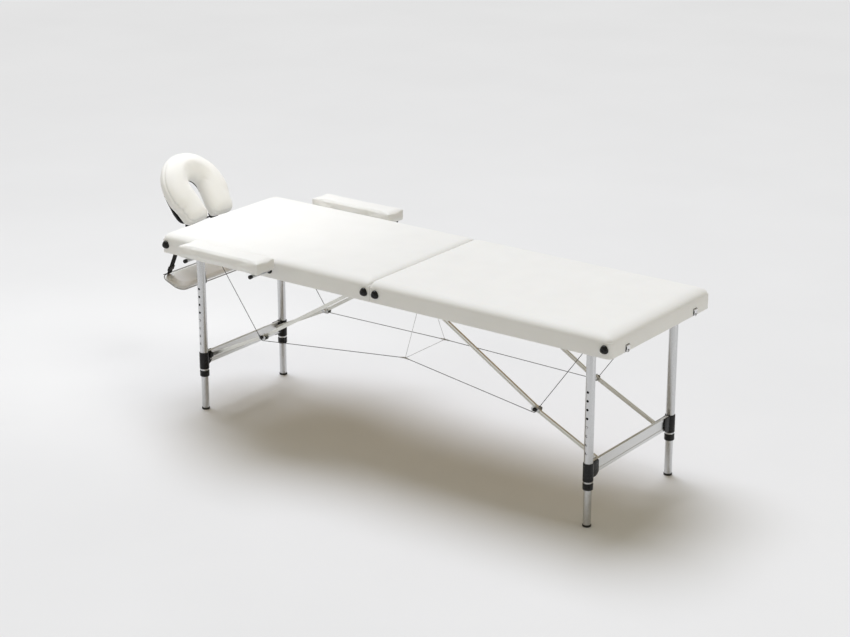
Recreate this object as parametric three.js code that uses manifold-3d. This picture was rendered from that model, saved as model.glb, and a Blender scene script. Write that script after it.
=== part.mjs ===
// Portable two-section massage table with aluminium fold-away legs, cable-braced knee struts,
// a tilting face cradle, pull-out side armrests and a hanging arm sling.
// Millimetres, +Z up. X runs along the bed with the head end at -X, and the near long side faces -Y.
// The model is drawn about the middle hinge, then moved along X so that the origin is at the
// middle of the bottom of its box.
import * as THREE from 'three';
import { mergeVertices } from 'three/addons/utils/BufferGeometryUtils.js';
import Module from 'manifold-3d';

const wasm = await Module();
wasm.setup();

// ---- Driving dimensions ----------------------------------------------------------------------
const GAP = 0.3; // clearance between touching pieces
const ORIGIN_SHIFT_X = 114.45; // middle hinge to the origin, along +X

// Panels
const PANEL_LENGTH = 930;
const PANEL_WIDTH = 616;
const PANEL_BOTTOM_Z = 604;
const PANEL_SPLIT = 0.5; // half the gap between the two panels at the middle
const RAIL_HEIGHT = 50;
const RAIL_WIDTH = 14;
const BOARD_THICKNESS = 4;
const BOARD_INSET = 8; // keeps the board's corners inside the frame's round ones
const FOAM_THICKNESS = 18;
const FOAM_EDGE_RADIUS = 7;
const PANEL_CORNER_RADIUS = 16;

// Middle hinge
const HINGE_AXIS_DROP = 2.8; // below the panel's bottom
const HINGE_BARREL_RADIUS = 2.5;
const HINGE_LEAF_THICKNESS = 1.6;
const HINGE_LEAF_REACH = 30;
const HINGE_LENGTH = 560;
const HINGE_KNUCKLES = 7;

// Legs
const LEG_X = 830; // leg pivot from the middle hinge
const LEG_PIVOT_HEIGHT = 26; // above the panel's bottom
const LEG_HALF_SPREAD = { head: 219, foot: 256 }; // the frames pass beside each other as they fold
const OUTER_TUBE_RADIUS = 15;
const OUTER_TUBE_BORE = 13.4;
const OUTER_TUBE_BOTTOM_Z = 131.3;
const OUTER_TUBE_HEAD = 12; // above the pivot
const INNER_TUBE_RADIUS = 13.1;
const INNER_TUBE_BORE = 11.6;
const INNER_TUBE_TOP_Z = 359;
const PIVOT_PIN_RADIUS = 4;
const HOLE_RADIUS = 4;
const HOLE_COUNT = 8;
const HOLE_TOP_Z = 462.4;
const HOLE_PITCH = 29.6;
const FOOT_RADIUS = 14.6;
const FOOT_HEIGHT = 7;
const FOOT_PAD = 4;

// Clamps, collars and crossbars
const CLAMP_RADIUS = 17.4;
const CLAMP_BORE = 15.3;
const CLAMP_BOTTOM_Z = 157;
const CLAMP_HEIGHT = 62;
const WING_HALF_THICKNESS = 9.5;
const WING_LENGTH = 14;
const COLLAR_RADIUS = 17.2;
const COLLAR_BOTTOM_Z = 128;
const COLLAR_HEIGHT = 22;
const COLLAR_LIP = 3;
const CROSSBAR_THICKNESS = 10;
const CROSSBAR_HEIGHT = 46;
const CROSSBAR_BOTTOM_Z = 173;
const CROSSBAR_GROOVE_HEIGHT = 24;
const CROSSBAR_GROOVE_DEPTH = 1.5;

// Knee struts: two links that fold at a knee between the leg frame and the panel
const STRUT_SECTION = 12;
const STRUT_THICKNESS = 8;
const LOWER_STRUT_Y = 181;
const UPPER_STRUT_Y = 172;
const STRUT_PIN_RADIUS = 3;
const STRUT_EYE_BORE = 3.3;
const STRUT_GROOVE_WIDTH = 4;
const STRUT_GROOVE_DEPTH = 1.5;
const FOOT_END_INSET = 11.5; // the lower pin stands this far in from the leg's axis
const FOOT_END_DROP = 426; // and this far below the leg's pivot
const PANEL_END_X = 50; // the upper pin, from the middle hinge
const OVER_CENTRE = 0.8; // how much longer the two links are than the open span

// Brace cables and lifter cord
const CABLE_RADIUS = 1;
const CABLE_SIDES = 8;
const CABLE_Y = 188.5;
const CABLE_KNEE_DROP = 12;
const CABLE_TOP_Z = 620;
const CABLE_TOP_X = 806;
const CLIP_Y = 115;
const CLIP_Z = 348;
const CLIP_RADIUS = 2.2;
const LIFTER_RADIUS = 0.8;
const LIFTER_TOP_Z = 597;

// Armrests
const ARM_X = [-762, -395];
const ARM_Y = [316, 414];
const ARM_Z = [640, 686];
const ARM_ROD_X = [-728, -432];
const ARM_ROD_Z = 631;
const ARM_ROD_RADIUS = 6;
const ARM_ROD_INNER_Y = 248;
const ARM_ROD_OUTER_Y = 410;
const ARM_BAR_WIDTH = 22;
const ARM_BAR_THICKNESS = 3;

// Face cradle
const CRADLE_TILT = THREE.MathUtils.degToRad(52);
const CRADLE_FRONT = new THREE.Vector3(-942, 0, 668); // front face of the cushion at its lower end
const CRADLE_THICKNESS = 62;
const CRADLE_LENGTH = 272;
const CRADLE_RADIUS = 157;
const CRADLE_FOOT_HALF = 138;
const SLOT_HALF = [22, 29];
const SLOT_ARC_V = 130;
const PLATE_THICKNESS = 8;
const PLATE_INSET = 30;
const PLATE_HEEL_INSET = 12;
const TILT_PIVOT = new THREE.Vector3(-1019, 0, 633);
const TILT_PIN_RADIUS = 3;
const TILT_PIN_BORE = 3.3;
const PRONG_Y = 75;
const PRONG_Z = 618;
const PRONG_RADIUS = 5;
const PRONG_INNER_X = -872;

// Arm sling
const SLING_AXIS = { x: -942, z: 612 };
const SLING_CENTRE = new THREE.Vector3(-976, 0, 452);
const SLING_SIZE = { x: 104, y: 450, z: 26 };
const SLING_TILT = THREE.MathUtils.degToRad(22);
const STRAP_Y = [100, 205];
const STRAP_WIDTH = 25;
const STRAP_THICKNESS = 1.8;

// Case latches and carry handles
const LATCH_Y = 210;
const LATCH_PIVOT_Z = 624;
const LATCH_LENGTH = 24;
const LATCH_WIDTH = 20;
const HANDLE_X = 130;
const HANDLE_SPAN = 130;
const HANDLE_STAND_OFF = 26;
const HANDLE_BAND = 25;
const HANDLE_THICKNESS = 3;

const ENDS = [{ name: 'head', dir: -1 }, { name: 'foot', dir: 1 }];
const SIDES = [{ name: 'near', dir: -1 }, { name: 'far', dir: 1 }];

// ---- Finishes --------------------------------------------------------------------------------
const finish = (color, roughness, metalness = 0) =>
  new THREE.MeshStandardMaterial({ color, roughness, metalness });
const FINISH = {
  upholstery: finish(0xf1efe9, 0.45),
  wood: finish(0xc9b08a, 0.7),
  aluminium: finish(0xc9cbcc, 0.35, 1),
  steel: finish(0xb4b6b8, 0.3, 1),
  plastic: finish(0x141416, 0.3),
  rubber: finish(0x1b1b1c, 0.8),
  wire: finish(0x8d8f92, 0.4, 1),
  cord: finish(0x9a9a98, 0.8),
  webbing: finish(0x17171a, 0.9),
};

// ---- Solid helpers ---------------------------------------------------------------------------
function toSolid(geometry) {
  const bare = geometry.clone();
  bare.deleteAttribute('normal');
  bare.deleteAttribute('uv');
  const merged = mergeVertices(bare, 1e-4);
  return new wasm.Manifold(new wasm.Mesh({
    numProp: 3,
    vertProperties: new Float32Array(merged.attributes.position.array),
    triVerts: new Uint32Array(merged.index.array),
  }));
}

function toGeometry(solid) {
  const mesh = solid.getMesh();
  const geometry = new THREE.BufferGeometry();
  geometry.setAttribute('position', new THREE.BufferAttribute(mesh.vertProperties, 3));
  geometry.setIndex(new THREE.BufferAttribute(mesh.triVerts, 1));
  geometry.computeVertexNormals();
  return geometry;
}

const join = (...shapes) => toGeometry(shapes.map(toSolid).reduce((all, next) => all.add(next)));
const cut = (base, ...tools) =>
  toGeometry(tools.map(toSolid).reduce((left, tool) => left.subtract(tool), toSolid(base)));

// Box between two opposite corners, given in any order.
function block(a, b) {
  const size = [0, 1, 2].map((i) => Math.abs(a[i] - b[i]));
  const middle = [0, 1, 2].map((i) => (a[i] + b[i]) / 2);
  return new THREE.BoxGeometry(...size).translate(...middle);
}

function rod(from, to, radius, sides = 12) {
  const a = new THREE.Vector3(...from);
  const b = new THREE.Vector3(...to);
  const along = b.clone().sub(a);
  const turn = new THREE.Quaternion().setFromUnitVectors(
    new THREE.Vector3(0, 1, 0), along.clone().normalize());
  return new THREE.CylinderGeometry(radius, radius, along.length(), sides)
    .applyQuaternion(turn)
    .translate(...a.add(b).multiplyScalar(0.5).toArray());
}

function ring(x, y, z0, z1, outer, bore, sides = 20) {
  return cut(rod([x, y, z0], [x, y, z1], outer, sides), rod([x, y, z0 - 1], [x, y, z1 + 1], bore, sides));
}

function roundedRectangle(width, height, radius) {
  const [w, h, r] = [width / 2, height / 2, radius];
  const shape = new THREE.Shape();
  shape.moveTo(-w + r, -h);
  shape.lineTo(w - r, -h);
  shape.absarc(w - r, -h + r, r, -Math.PI / 2, 0, false);
  shape.lineTo(w, h - r);
  shape.absarc(w - r, h - r, r, 0, Math.PI / 2, false);
  shape.lineTo(-w + r, h);
  shape.absarc(-w + r, h - r, r, Math.PI / 2, Math.PI, false);
  shape.lineTo(-w, -h + r);
  shape.absarc(-w + r, -h + r, r, Math.PI, Math.PI * 1.5, false);
  return shape;
}

// Slab with rounded corners and rounded edges, centred on the origin.
function softSlab(length, width, height, corner, edge) {
  return new THREE.ExtrudeGeometry(
    roundedRectangle(length - 2 * edge, width - 2 * edge, corner),
    { depth: height - 2 * edge, bevelSize: edge, bevelThickness: edge, bevelSegments: 2, curveSegments: 3 },
  ).translate(0, 0, -height / 2 + edge);
}

const table = new THREE.Group();

function add(name, geometry, material, parent = table) {
  const mesh = new THREE.Mesh(geometry, material);
  mesh.name = name;
  parent.add(mesh);
  return mesh;
}

// ---- Panels ----------------------------------------------------------------------------------
const railTop = PANEL_BOTTOM_Z + RAIL_HEIGHT;
const boardTop = railTop + GAP + BOARD_THICKNESS;
const legPivotZ = PANEL_BOTTOM_Z + LEG_PIVOT_HEIGHT;
const halfWidth = PANEL_WIDTH / 2;
const panelMiddle = (PANEL_LENGTH + PANEL_SPLIT) / 2;
const strutPinZ = legPivotZ + FOOT_END_INSET;

// Blocks inside the frame that carry the upper ends of the knee struts.
function strutBlock(dir, side) {
  const innerFace = UPPER_STRUT_Y + STRUT_THICKNESS / 2 + 1.5;
  const x = dir * PANEL_END_X;
  return [
    block([dir * RAIL_WIDTH, side * innerFace, PANEL_BOTTOM_Z + 16],
      [dir * (PANEL_END_X + 10), side * (innerFace + 12), railTop]),
    rod([x, side * (innerFace + 1), strutPinZ],
      [x, side * (UPPER_STRUT_Y - STRUT_THICKNESS / 2 - 2), strutPinZ], STRUT_PIN_RADIUS),
  ];
}

function panelFrame(end) {
  const length = PANEL_LENGTH - PANEL_SPLIT;
  const outline = roundedRectangle(length, PANEL_WIDTH, PANEL_CORNER_RADIUS);
  const inner = roundedRectangle(length - 2 * RAIL_WIDTH, PANEL_WIDTH - 2 * RAIL_WIDTH, 4);
  outline.holes.push(inner);
  const x = end.dir * panelMiddle;
  const rails = new THREE.ExtrudeGeometry(outline, { depth: RAIL_HEIGHT, bevelEnabled: false, curveSegments: 3 })
    .translate(x, 0, PANEL_BOTTOM_Z);
  const squareEnd = SIDES.map(({ dir }) => squareCorner(end.dir, dir, PANEL_BOTTOM_Z, RAIL_HEIGHT));
  const blocks = SIDES.flatMap(({ dir }) => strutBlock(end.dir, dir));
  const frame = join(rails, ...squareEnd, ...blocks);
  return end.name === 'head' ? cut(frame, ...accessorySockets()) : frame;
}

// The panels stay square where they meet, and have round corners at the two far ends.
function squareCorner(dir, side, z, height) {
  const inset = PANEL_CORNER_RADIUS;
  return block([dir * PANEL_SPLIT, side * (halfWidth - Math.min(inset, RAIL_WIDTH)), z],
    [dir * (PANEL_SPLIT + inset), side * halfWidth, z + height]);
}

// Holes in the head panel's rails for the cradle's prongs and the armrests' rods.
function accessorySockets() {
  const prongs = SIDES.map(({ dir }) =>
    rod([-PANEL_LENGTH - 5, dir * PRONG_Y, PRONG_Z], [-PANEL_LENGTH + 30, dir * PRONG_Y, PRONG_Z],
      PRONG_RADIUS + GAP));
  const rods = SIDES.flatMap(({ dir }) => ARM_ROD_X.map((x) =>
    rod([x, dir * (halfWidth - 30), ARM_ROD_Z], [x, dir * (halfWidth + 5), ARM_ROD_Z], ARM_ROD_RADIUS + GAP)));
  return [...prongs, ...rods];
}

function panelCushion(end) {
  const length = PANEL_LENGTH - PANEL_SPLIT;
  return softSlab(length, PANEL_WIDTH, FOAM_THICKNESS, PANEL_CORNER_RADIUS - FOAM_EDGE_RADIUS, FOAM_EDGE_RADIUS)
    .translate(end.dir * panelMiddle, 0, boardTop + GAP + FOAM_THICKNESS / 2);
}

for (const end of ENDS) {
  add(`${end.name}_panel_frame`, panelFrame(end), FINISH.wood);
  const board = block([end.dir * PANEL_SPLIT, -halfWidth + BOARD_INSET, boardTop - BOARD_THICKNESS],
    [end.dir * (PANEL_LENGTH - BOARD_INSET), halfWidth - BOARD_INSET, boardTop]);
  add(`${end.name}_panel_board`, board, FINISH.wood);
  add(`${end.name}_cushion`, panelCushion(end), FINISH.upholstery);
}

// ---- Middle hinge: two leaves with alternate knuckles -----------------------------------------
for (const end of ENDS) {
  const leafTop = PANEL_BOTTOM_Z - GAP;
  const axisZ = PANEL_BOTTOM_Z - HINGE_AXIS_DROP;
  const pitch = HINGE_LENGTH / HINGE_KNUCKLES;
  const start = -HINGE_LENGTH / 2;
  const first = end.name === 'head' ? 0 : 1;
  const leaf = [block([end.dir * (HINGE_BARREL_RADIUS + 0.5), start, leafTop],
    [end.dir * HINGE_LEAF_REACH, -start, leafTop - HINGE_LEAF_THICKNESS])];
  for (let i = first; i < HINGE_KNUCKLES; i += 2) {
    const y0 = start + i * pitch + GAP;
    const y1 = y0 + pitch - 2 * GAP;
    leaf.push(rod([0, y0, axisZ], [0, y1, axisZ], HINGE_BARREL_RADIUS, 10));
    leaf.push(block([0, y0, leafTop - 0.1], [end.dir * 4, y1, leafTop - HINGE_LEAF_THICKNESS]));
  }
  add(`middle_hinge_${end.name}_leaf`, join(...leaf), FINISH.steel);
}

// ---- Legs ------------------------------------------------------------------------------------
function legBracket(x, y) {
  const top = railTop - GAP;
  const cheek = OUTER_TUBE_RADIUS + 1;
  const plate = block([x - 18, y - cheek - 2.4, top - 2.6], [x + 18, y + cheek + 2.4, top]);
  const cheeks = SIDES.map(({ dir }) => block([x - 13, y + dir * cheek, legPivotZ - 11],
    [x + 13, y + dir * (cheek + 2.4), top - 0.5]));
  const pin = rod([x, y - cheek - 4.5, legPivotZ], [x, y + cheek + 4.5, legPivotZ], PIVOT_PIN_RADIUS);
  return join(plate, ...cheeks, pin);
}

function outerTube(x, y, side) {
  const tube = ring(x, y, OUTER_TUBE_BOTTOM_Z, legPivotZ + OUTER_TUBE_HEAD, OUTER_TUBE_RADIUS, OUTER_TUBE_BORE);
  const pinHole = rod([x, y - 20, legPivotZ], [x, y + 20, legPivotZ], PIVOT_PIN_RADIUS + GAP);
  const holes = [];
  for (let i = 0; i < HOLE_COUNT; i += 1) {
    const z = HOLE_TOP_Z - i * HOLE_PITCH;
    holes.push(rod([x, y + side * 5, z], [x, y + side * 20, z], HOLE_RADIUS, 8));
  }
  return cut(tube, pinHole, ...holes);
}

// Moulded clamp: a sleeve on the tube, a socket for the crossbar and a lug for the strut's pin.
function clamp(x, y, end, side) {
  const top = CLAMP_BOTTOM_Z + CLAMP_HEIGHT;
  const inward = -side;
  const wingStart = y + inward * CLAMP_BORE;
  const wingEnd = y + inward * (CLAMP_RADIUS + WING_LENGTH);
  const lugEnd = side * (LOWER_STRUT_Y + STRUT_THICKNESS / 2 + 1.5);
  const toMiddle = -end.dir;
  const pinX = x + toMiddle * FOOT_END_INSET;
  const pinZ = legPivotZ - FOOT_END_DROP;
  const body = join(
    rod([x, y, CLAMP_BOTTOM_Z], [x, y, top], CLAMP_RADIUS, 24),
    block([x - WING_HALF_THICKNESS, wingStart, CROSSBAR_BOTTOM_Z + 2], [x + WING_HALF_THICKNESS, wingEnd, top]),
    block([x + toMiddle * (CROSSBAR_THICKNESS / 2 + 0.4), y + inward * 8, pinZ - 8],
      [x + toMiddle * 17.2, lugEnd, pinZ + 8]),
    rod([pinX, lugEnd + side * 2, pinZ], [pinX, side * (LOWER_STRUT_Y - STRUT_THICKNESS / 2 - 0.5), pinZ],
      STRUT_PIN_RADIUS),
  );
  const slot = block(
    [x - CROSSBAR_THICKNESS / 2 - GAP, y + inward * (CLAMP_RADIUS + 0.8), CROSSBAR_BOTTOM_Z - GAP],
    [x + CROSSBAR_THICKNESS / 2 + GAP, wingEnd + inward * 5, CROSSBAR_BOTTOM_Z + CROSSBAR_HEIGHT + 1],
  );
  return cut(body, rod([x, y, CLAMP_BOTTOM_Z - 1], [x, y, top + 1], CLAMP_BORE, 24), slot);
}

// End collar: grips the outer tube and guides the inner one.
function collar(x, y) {
  const top = COLLAR_BOTTOM_Z + COLLAR_HEIGHT;
  const body = rod([x, y, COLLAR_BOTTOM_Z], [x, y, top], COLLAR_RADIUS, 20);
  const wide = rod([x, y, COLLAR_BOTTOM_Z + COLLAR_LIP], [x, y, top + 1], CLAMP_BORE, 20);
  const lip = rod([x, y, COLLAR_BOTTOM_Z - 1], [x, y, top], INNER_TUBE_RADIUS + GAP, 20);
  return cut(body, wide, lip);
}

function legFoot(x, y) {
  const body = rod([x, y, 0], [x, y, FOOT_HEIGHT], FOOT_RADIUS, 20);
  return cut(body, rod([x, y, FOOT_PAD], [x, y, FOOT_HEIGHT + 1], INNER_TUBE_RADIUS + GAP, 20));
}

function crossbar(x, halfSpread) {
  const halfLength = halfSpread - CLAMP_RADIUS - 1.1;
  const half = CROSSBAR_THICKNESS / 2;
  const middleZ = CROSSBAR_BOTTOM_Z + CROSSBAR_HEIGHT / 2;
  const bar = block([x - half, -halfLength, CROSSBAR_BOTTOM_Z],
    [x + half, halfLength, CROSSBAR_BOTTOM_Z + CROSSBAR_HEIGHT]);
  const grooves = [-1, 1].map((face) => block(
    [x + face * (half - CROSSBAR_GROOVE_DEPTH), -halfLength - 1, middleZ - CROSSBAR_GROOVE_HEIGHT / 2],
    [x + face * (half + 1), halfLength + 1, middleZ + CROSSBAR_GROOVE_HEIGHT / 2],
  ));
  return cut(bar, ...grooves);
}

for (const end of ENDS) {
  const x = end.dir * LEG_X;
  const spread = LEG_HALF_SPREAD[end.name];
  add(`${end.name}_crossbar`, crossbar(x, spread), FINISH.aluminium);
  for (const side of SIDES) {
    const y = side.dir * spread;
    const label = `${end.name}_${side.name}`;
    add(`${label}_leg_bracket`, legBracket(x, y), FINISH.steel);
    add(`${label}_outer_tube`, outerTube(x, y, side.dir), FINISH.aluminium);
    add(`${label}_clamp`, clamp(x, y, end, side.dir), FINISH.plastic);
    add(`${label}_collar`, collar(x, y), FINISH.plastic);
    add(`${label}_inner_tube`,
      ring(x, y, FOOT_PAD + GAP, INNER_TUBE_TOP_Z, INNER_TUBE_RADIUS, INNER_TUBE_BORE), FINISH.aluminium);
    add(`${label}_leg_foot`, legFoot(x, y), FINISH.rubber);
  }
}

// ---- Knee struts -----------------------------------------------------------------------------
// Open, the two links are just over centre; folded, they lie on one line inside the panel.
const openSpan = Math.hypot(LEG_X - FOOT_END_INSET - PANEL_END_X, FOOT_END_DROP + FOOT_END_INSET);
const foldedSpan = LEG_X - FOOT_END_DROP - PANEL_END_X;
const upperLength = (openSpan + OVER_CENTRE + foldedSpan) / 2;
const lowerLength = (openSpan + OVER_CENTRE - foldedSpan) / 2;
const upperPin = new THREE.Vector2(PANEL_END_X, strutPinZ);
const lowerPin = new THREE.Vector2(LEG_X - FOOT_END_INSET, legPivotZ - FOOT_END_DROP);

// The knee is where the two links' circles cross, on the lower side of the straight line.
function kneePoint() {
  const span = lowerPin.clone().sub(upperPin);
  const along = (upperLength ** 2 - lowerLength ** 2 + span.lengthSq()) / (2 * span.length());
  const off = Math.sqrt(upperLength ** 2 - along ** 2);
  const unit = span.clone().normalize();
  const below = new THREE.Vector2(unit.y, -unit.x);
  return upperPin.clone().addScaledVector(unit, along).addScaledVector(below, off);
}

const knee = kneePoint();

function strutBar(length) {
  const half = STRUT_SECTION / 2;
  const shape = new THREE.Shape();
  shape.absarc(0, 0, half, Math.PI / 2, Math.PI * 1.5, false);
  shape.absarc(length, 0, half, -Math.PI / 2, Math.PI / 2, false);
  for (const x of [0, length]) {
    shape.holes.push(new THREE.Path().absarc(x, 0, STRUT_EYE_BORE, 0, Math.PI * 2, true));
  }
  const bar = new THREE.ExtrudeGeometry(shape, { depth: STRUT_THICKNESS, bevelEnabled: false, curveSegments: 5 })
    .translate(0, 0, -STRUT_THICKNESS / 2)
    .rotateX(Math.PI / 2);
  const face = STRUT_THICKNESS / 2;
  const grooves = [-1, 1].map((dir) => block(
    [12, dir * (face - STRUT_GROOVE_DEPTH), -STRUT_GROOVE_WIDTH / 2],
    [length - 12, dir * (face + 1), STRUT_GROOVE_WIDTH / 2],
  ));
  return cut(bar, ...grooves);
}

function placeStrut(name, start, finishPoint, length, end, side, y) {
  const mesh = add(name, strutBar(length), FINISH.aluminium);
  const dx = end.dir * (finishPoint.x - start.x);
  mesh.position.set(end.dir * start.x, side.dir * y, start.y);
  mesh.rotation.y = -Math.atan2(finishPoint.y - start.y, dx);
}

for (const end of ENDS) {
  for (const side of SIDES) {
    const label = `${end.name}_${side.name}`;
    placeStrut(`${label}_upper_strut`, upperPin, knee, upperLength, end, side, UPPER_STRUT_Y);
    placeStrut(`${label}_lower_strut`, lowerPin, knee, lowerLength, end, side, LOWER_STRUT_Y);
  }
}

// ---- Brace cables and lifter cord ------------------------------------------------------------
// Each cable is held at the leg bracket, the knee and the clip under the middle of the bed.
function wire(points, radius, sides = CABLE_SIDES) {
  const runs = points.slice(1).map((point, i) => rod(points[i], point, radius, sides));
  const bends = points.slice(1, -1).map((point) =>
    new THREE.SphereGeometry(radius * 1.04, 8, 4).translate(...point));
  return join(...runs, ...bends);
}

for (const end of ENDS) {
  for (const side of SIDES) {
    const route = [
      [end.dir * CABLE_TOP_X, side.dir * CABLE_Y, CABLE_TOP_Z],
      [end.dir * knee.x, side.dir * CABLE_Y, knee.y - CABLE_KNEE_DROP],
      [end.dir * (CLIP_RADIUS + 0.8), side.dir * CLIP_Y, CLIP_Z],
    ];
    add(`${end.name}_${side.name}_cable`, wire(route, CABLE_RADIUS), FINISH.wire);
  }
}

const clips = SIDES.map(({ dir }) => [0, dir * CLIP_Y, CLIP_Z]);
add('lifter_cord', join(
  wire([clips[0], [0, 0, LIFTER_TOP_Z], clips[1]], LIFTER_RADIUS),
  rod(clips[0], clips[1], LIFTER_RADIUS, CABLE_SIDES),
  ...clips.map((clip) => new THREE.SphereGeometry(CLIP_RADIUS, 8, 5).translate(...clip)),
), FINISH.cord);

// ---- Armrests --------------------------------------------------------------------------------
for (const side of SIDES) {
  const rods = ARM_ROD_X.map((x) => rod([x, side.dir * ARM_ROD_INNER_Y, ARM_ROD_Z],
    [x, side.dir * ARM_ROD_OUTER_Y, ARM_ROD_Z], ARM_ROD_RADIUS));
  const barTop = ARM_Z[0] - GAP;
  const middleY = side.dir * (ARM_Y[0] + ARM_Y[1]) / 2;
  const bar = block([ARM_ROD_X[0] - 14, middleY - ARM_BAR_WIDTH / 2, barTop - ARM_BAR_THICKNESS],
    [ARM_ROD_X[1] + 14, middleY + ARM_BAR_WIDTH / 2, barTop]);
  add(`${side.name}_armrest_frame`, join(...rods, bar), FINISH.steel);
  const pad = softSlab(ARM_X[1] - ARM_X[0], ARM_Y[1] - ARM_Y[0], ARM_Z[1] - ARM_Z[0], 6, 6)
    .translate((ARM_X[0] + ARM_X[1]) / 2, middleY, (ARM_Z[0] + ARM_Z[1]) / 2);
  add(`${side.name}_armrest_pad`, pad, FINISH.upholstery);
}

// ---- Face cradle -----------------------------------------------------------------------------
// Horseshoe outline, open at the end next to the bed. The insets draw the plate inside the cushion.
function horseshoe(inset, heelInset = inset) {
  const crown = CRADLE_RADIUS - inset;
  const crownV = CRADLE_LENGTH - CRADLE_RADIUS;
  const heel = CRADLE_FOOT_HALF - heelInset;
  const toe = inset * 0.7;
  const [slot, slotTop] = SLOT_HALF.map((half) => half + inset * 0.6);
  const shape = new THREE.Shape();
  shape.moveTo(slot, toe + 10);
  shape.quadraticCurveTo(slot, toe, slot + 12, toe);
  shape.lineTo(heel - 30, toe);
  shape.quadraticCurveTo(heel, toe, heel + 2, toe + 34);
  shape.bezierCurveTo(heel + 6, 70, crown, 90, crown, crownV);
  shape.absarc(0, crownV, crown, 0, Math.PI, false);
  shape.bezierCurveTo(-crown, 90, -heel - 6, 70, -heel - 2, toe + 34);
  shape.quadraticCurveTo(-heel, toe, -heel + 30, toe);
  shape.lineTo(-slot - 12, toe);
  shape.quadraticCurveTo(-slot, toe, -slot, toe + 10);
  shape.lineTo(-slotTop, SLOT_ARC_V);
  shape.absarc(0, SLOT_ARC_V, slotTop, Math.PI, 0, true);
  return shape;
}

const slope = new THREE.Vector3(-Math.cos(CRADLE_TILT), 0, Math.sin(CRADLE_TILT));
const facing = new THREE.Vector3(Math.sin(CRADLE_TILT), 0, Math.cos(CRADLE_TILT));
const cradle = new THREE.Group();
cradle.quaternion.setFromRotationMatrix(
  new THREE.Matrix4().makeBasis(new THREE.Vector3(0, 1, 0), slope, facing));
cradle.position.copy(CRADLE_FRONT);
table.add(cradle);

const cushionEdge = 10;
add('face_cushion', new THREE.ExtrudeGeometry(horseshoe(cushionEdge), {
  depth: CRADLE_THICKNESS - 2 * cushionEdge,
  bevelSize: cushionEdge,
  bevelThickness: cushionEdge,
  bevelSegments: 1,
  curveSegments: 7,
}).translate(0, 0, cushionEdge - CRADLE_THICKNESS), FINISH.upholstery, cradle);

// The plate carries two ears that turn on the prong frame's pin.
function cradlePlate() {
  const back = -CRADLE_THICKNESS - GAP;
  const pivot = TILT_PIVOT.clone().sub(CRADLE_FRONT);
  const [v, n] = [pivot.dot(slope), pivot.dot(facing)];
  const plate = new THREE.ExtrudeGeometry(horseshoe(PLATE_INSET, PLATE_HEEL_INSET),
    { depth: PLATE_THICKNESS, bevelEnabled: false, curveSegments: 7 }).translate(0, 0, back - PLATE_THICKNESS);
  const ears = SIDES.map(({ dir }) => block([dir * 50, v - 10, back - 2], [dir * 58, v + 14, n - 7]));
  const bores = SIDES.map(({ dir }) => rod([dir * 45, v, n], [dir * 62, v, n], TILT_PIN_BORE));
  return cut(join(plate, ...ears), ...bores);
}

add('cradle_plate', cradlePlate(), FINISH.plastic, cradle);

const { x: pivotX, z: pivotZ } = TILT_PIVOT;
add('cradle_prongs', join(
  ...SIDES.map(({ dir }) => rod([pivotX - 6, dir * PRONG_Y, PRONG_Z], [PRONG_INNER_X, dir * PRONG_Y, PRONG_Z],
    PRONG_RADIUS)),
  ...SIDES.map(({ dir }) => block([pivotX - 7, dir * 61, PRONG_Z - 6], [pivotX + 7, dir * 82, pivotZ + 6])),
  rod([pivotX, -64, pivotZ], [pivotX, 64, pivotZ], TILT_PIN_RADIUS),
), FINISH.plastic);

// ---- Arm sling -------------------------------------------------------------------------------
// A padded shelf tilted about Y, and four straps that meet the bed's end face at one line.
function slingStrap(y) {
  const foot = SLING_CENTRE;
  const run = new THREE.Vector2(foot.x - SLING_AXIS.x, foot.z - SLING_AXIS.z);
  return new THREE.BoxGeometry(STRAP_THICKNESS, STRAP_WIDTH, run.length())
    .rotateY(Math.atan2(run.x, run.y))
    .translate((foot.x + SLING_AXIS.x) / 2, y, (foot.z + SLING_AXIS.z) / 2);
}

const shelf = softSlab(SLING_SIZE.x, SLING_SIZE.y, SLING_SIZE.z, 34, 10)
  .rotateY(SLING_TILT)
  .translate(...SLING_CENTRE.toArray());
const straps = STRAP_Y.flatMap((y) => [slingStrap(y), slingStrap(-y)]);
add('arm_sling', join(shelf, ...straps), FINISH.upholstery);

// ---- Case latches and carry handles ----------------------------------------------------------
for (const side of SIDES) {
  const y = side.dir * LATCH_Y;
  const face = PANEL_LENGTH + GAP;
  const lever = join(
    rod([face + 3, y - LATCH_WIDTH / 2, LATCH_PIVOT_Z], [face + 3, y + LATCH_WIDTH / 2, LATCH_PIVOT_Z], 2.8),
    block([face + 1.5, y - LATCH_WIDTH / 2 + 2, LATCH_PIVOT_Z], [face + 4, y + LATCH_WIDTH / 2 - 2,
      LATCH_PIVOT_Z - LATCH_LENGTH]),
  );
  add(`${side.name}_case_latch`, lever, FINISH.steel);
}

function handleBand() {
  const half = HANDLE_SPAN / 2;
  const outer = new THREE.Shape();
  outer.moveTo(-half, 0);
  outer.bezierCurveTo(-half + 8, HANDLE_STAND_OFF, -30, HANDLE_STAND_OFF, 0, HANDLE_STAND_OFF);
  outer.bezierCurveTo(30, HANDLE_STAND_OFF, half - 8, HANDLE_STAND_OFF, half, 0);
  outer.lineTo(half - HANDLE_THICKNESS * 2, 0);
  const lower = HANDLE_STAND_OFF - HANDLE_THICKNESS;
  outer.bezierCurveTo(half - 13, lower, 30, lower, 0, lower);
  outer.bezierCurveTo(-30, lower, -half + 13, lower, -half + HANDLE_THICKNESS * 2, 0);
  outer.closePath();
  return new THREE.ExtrudeGeometry(outer, { depth: HANDLE_BAND, bevelEnabled: false, curveSegments: 5 })
    .translate(0, 0, -HANDLE_BAND / 2);
}

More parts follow.
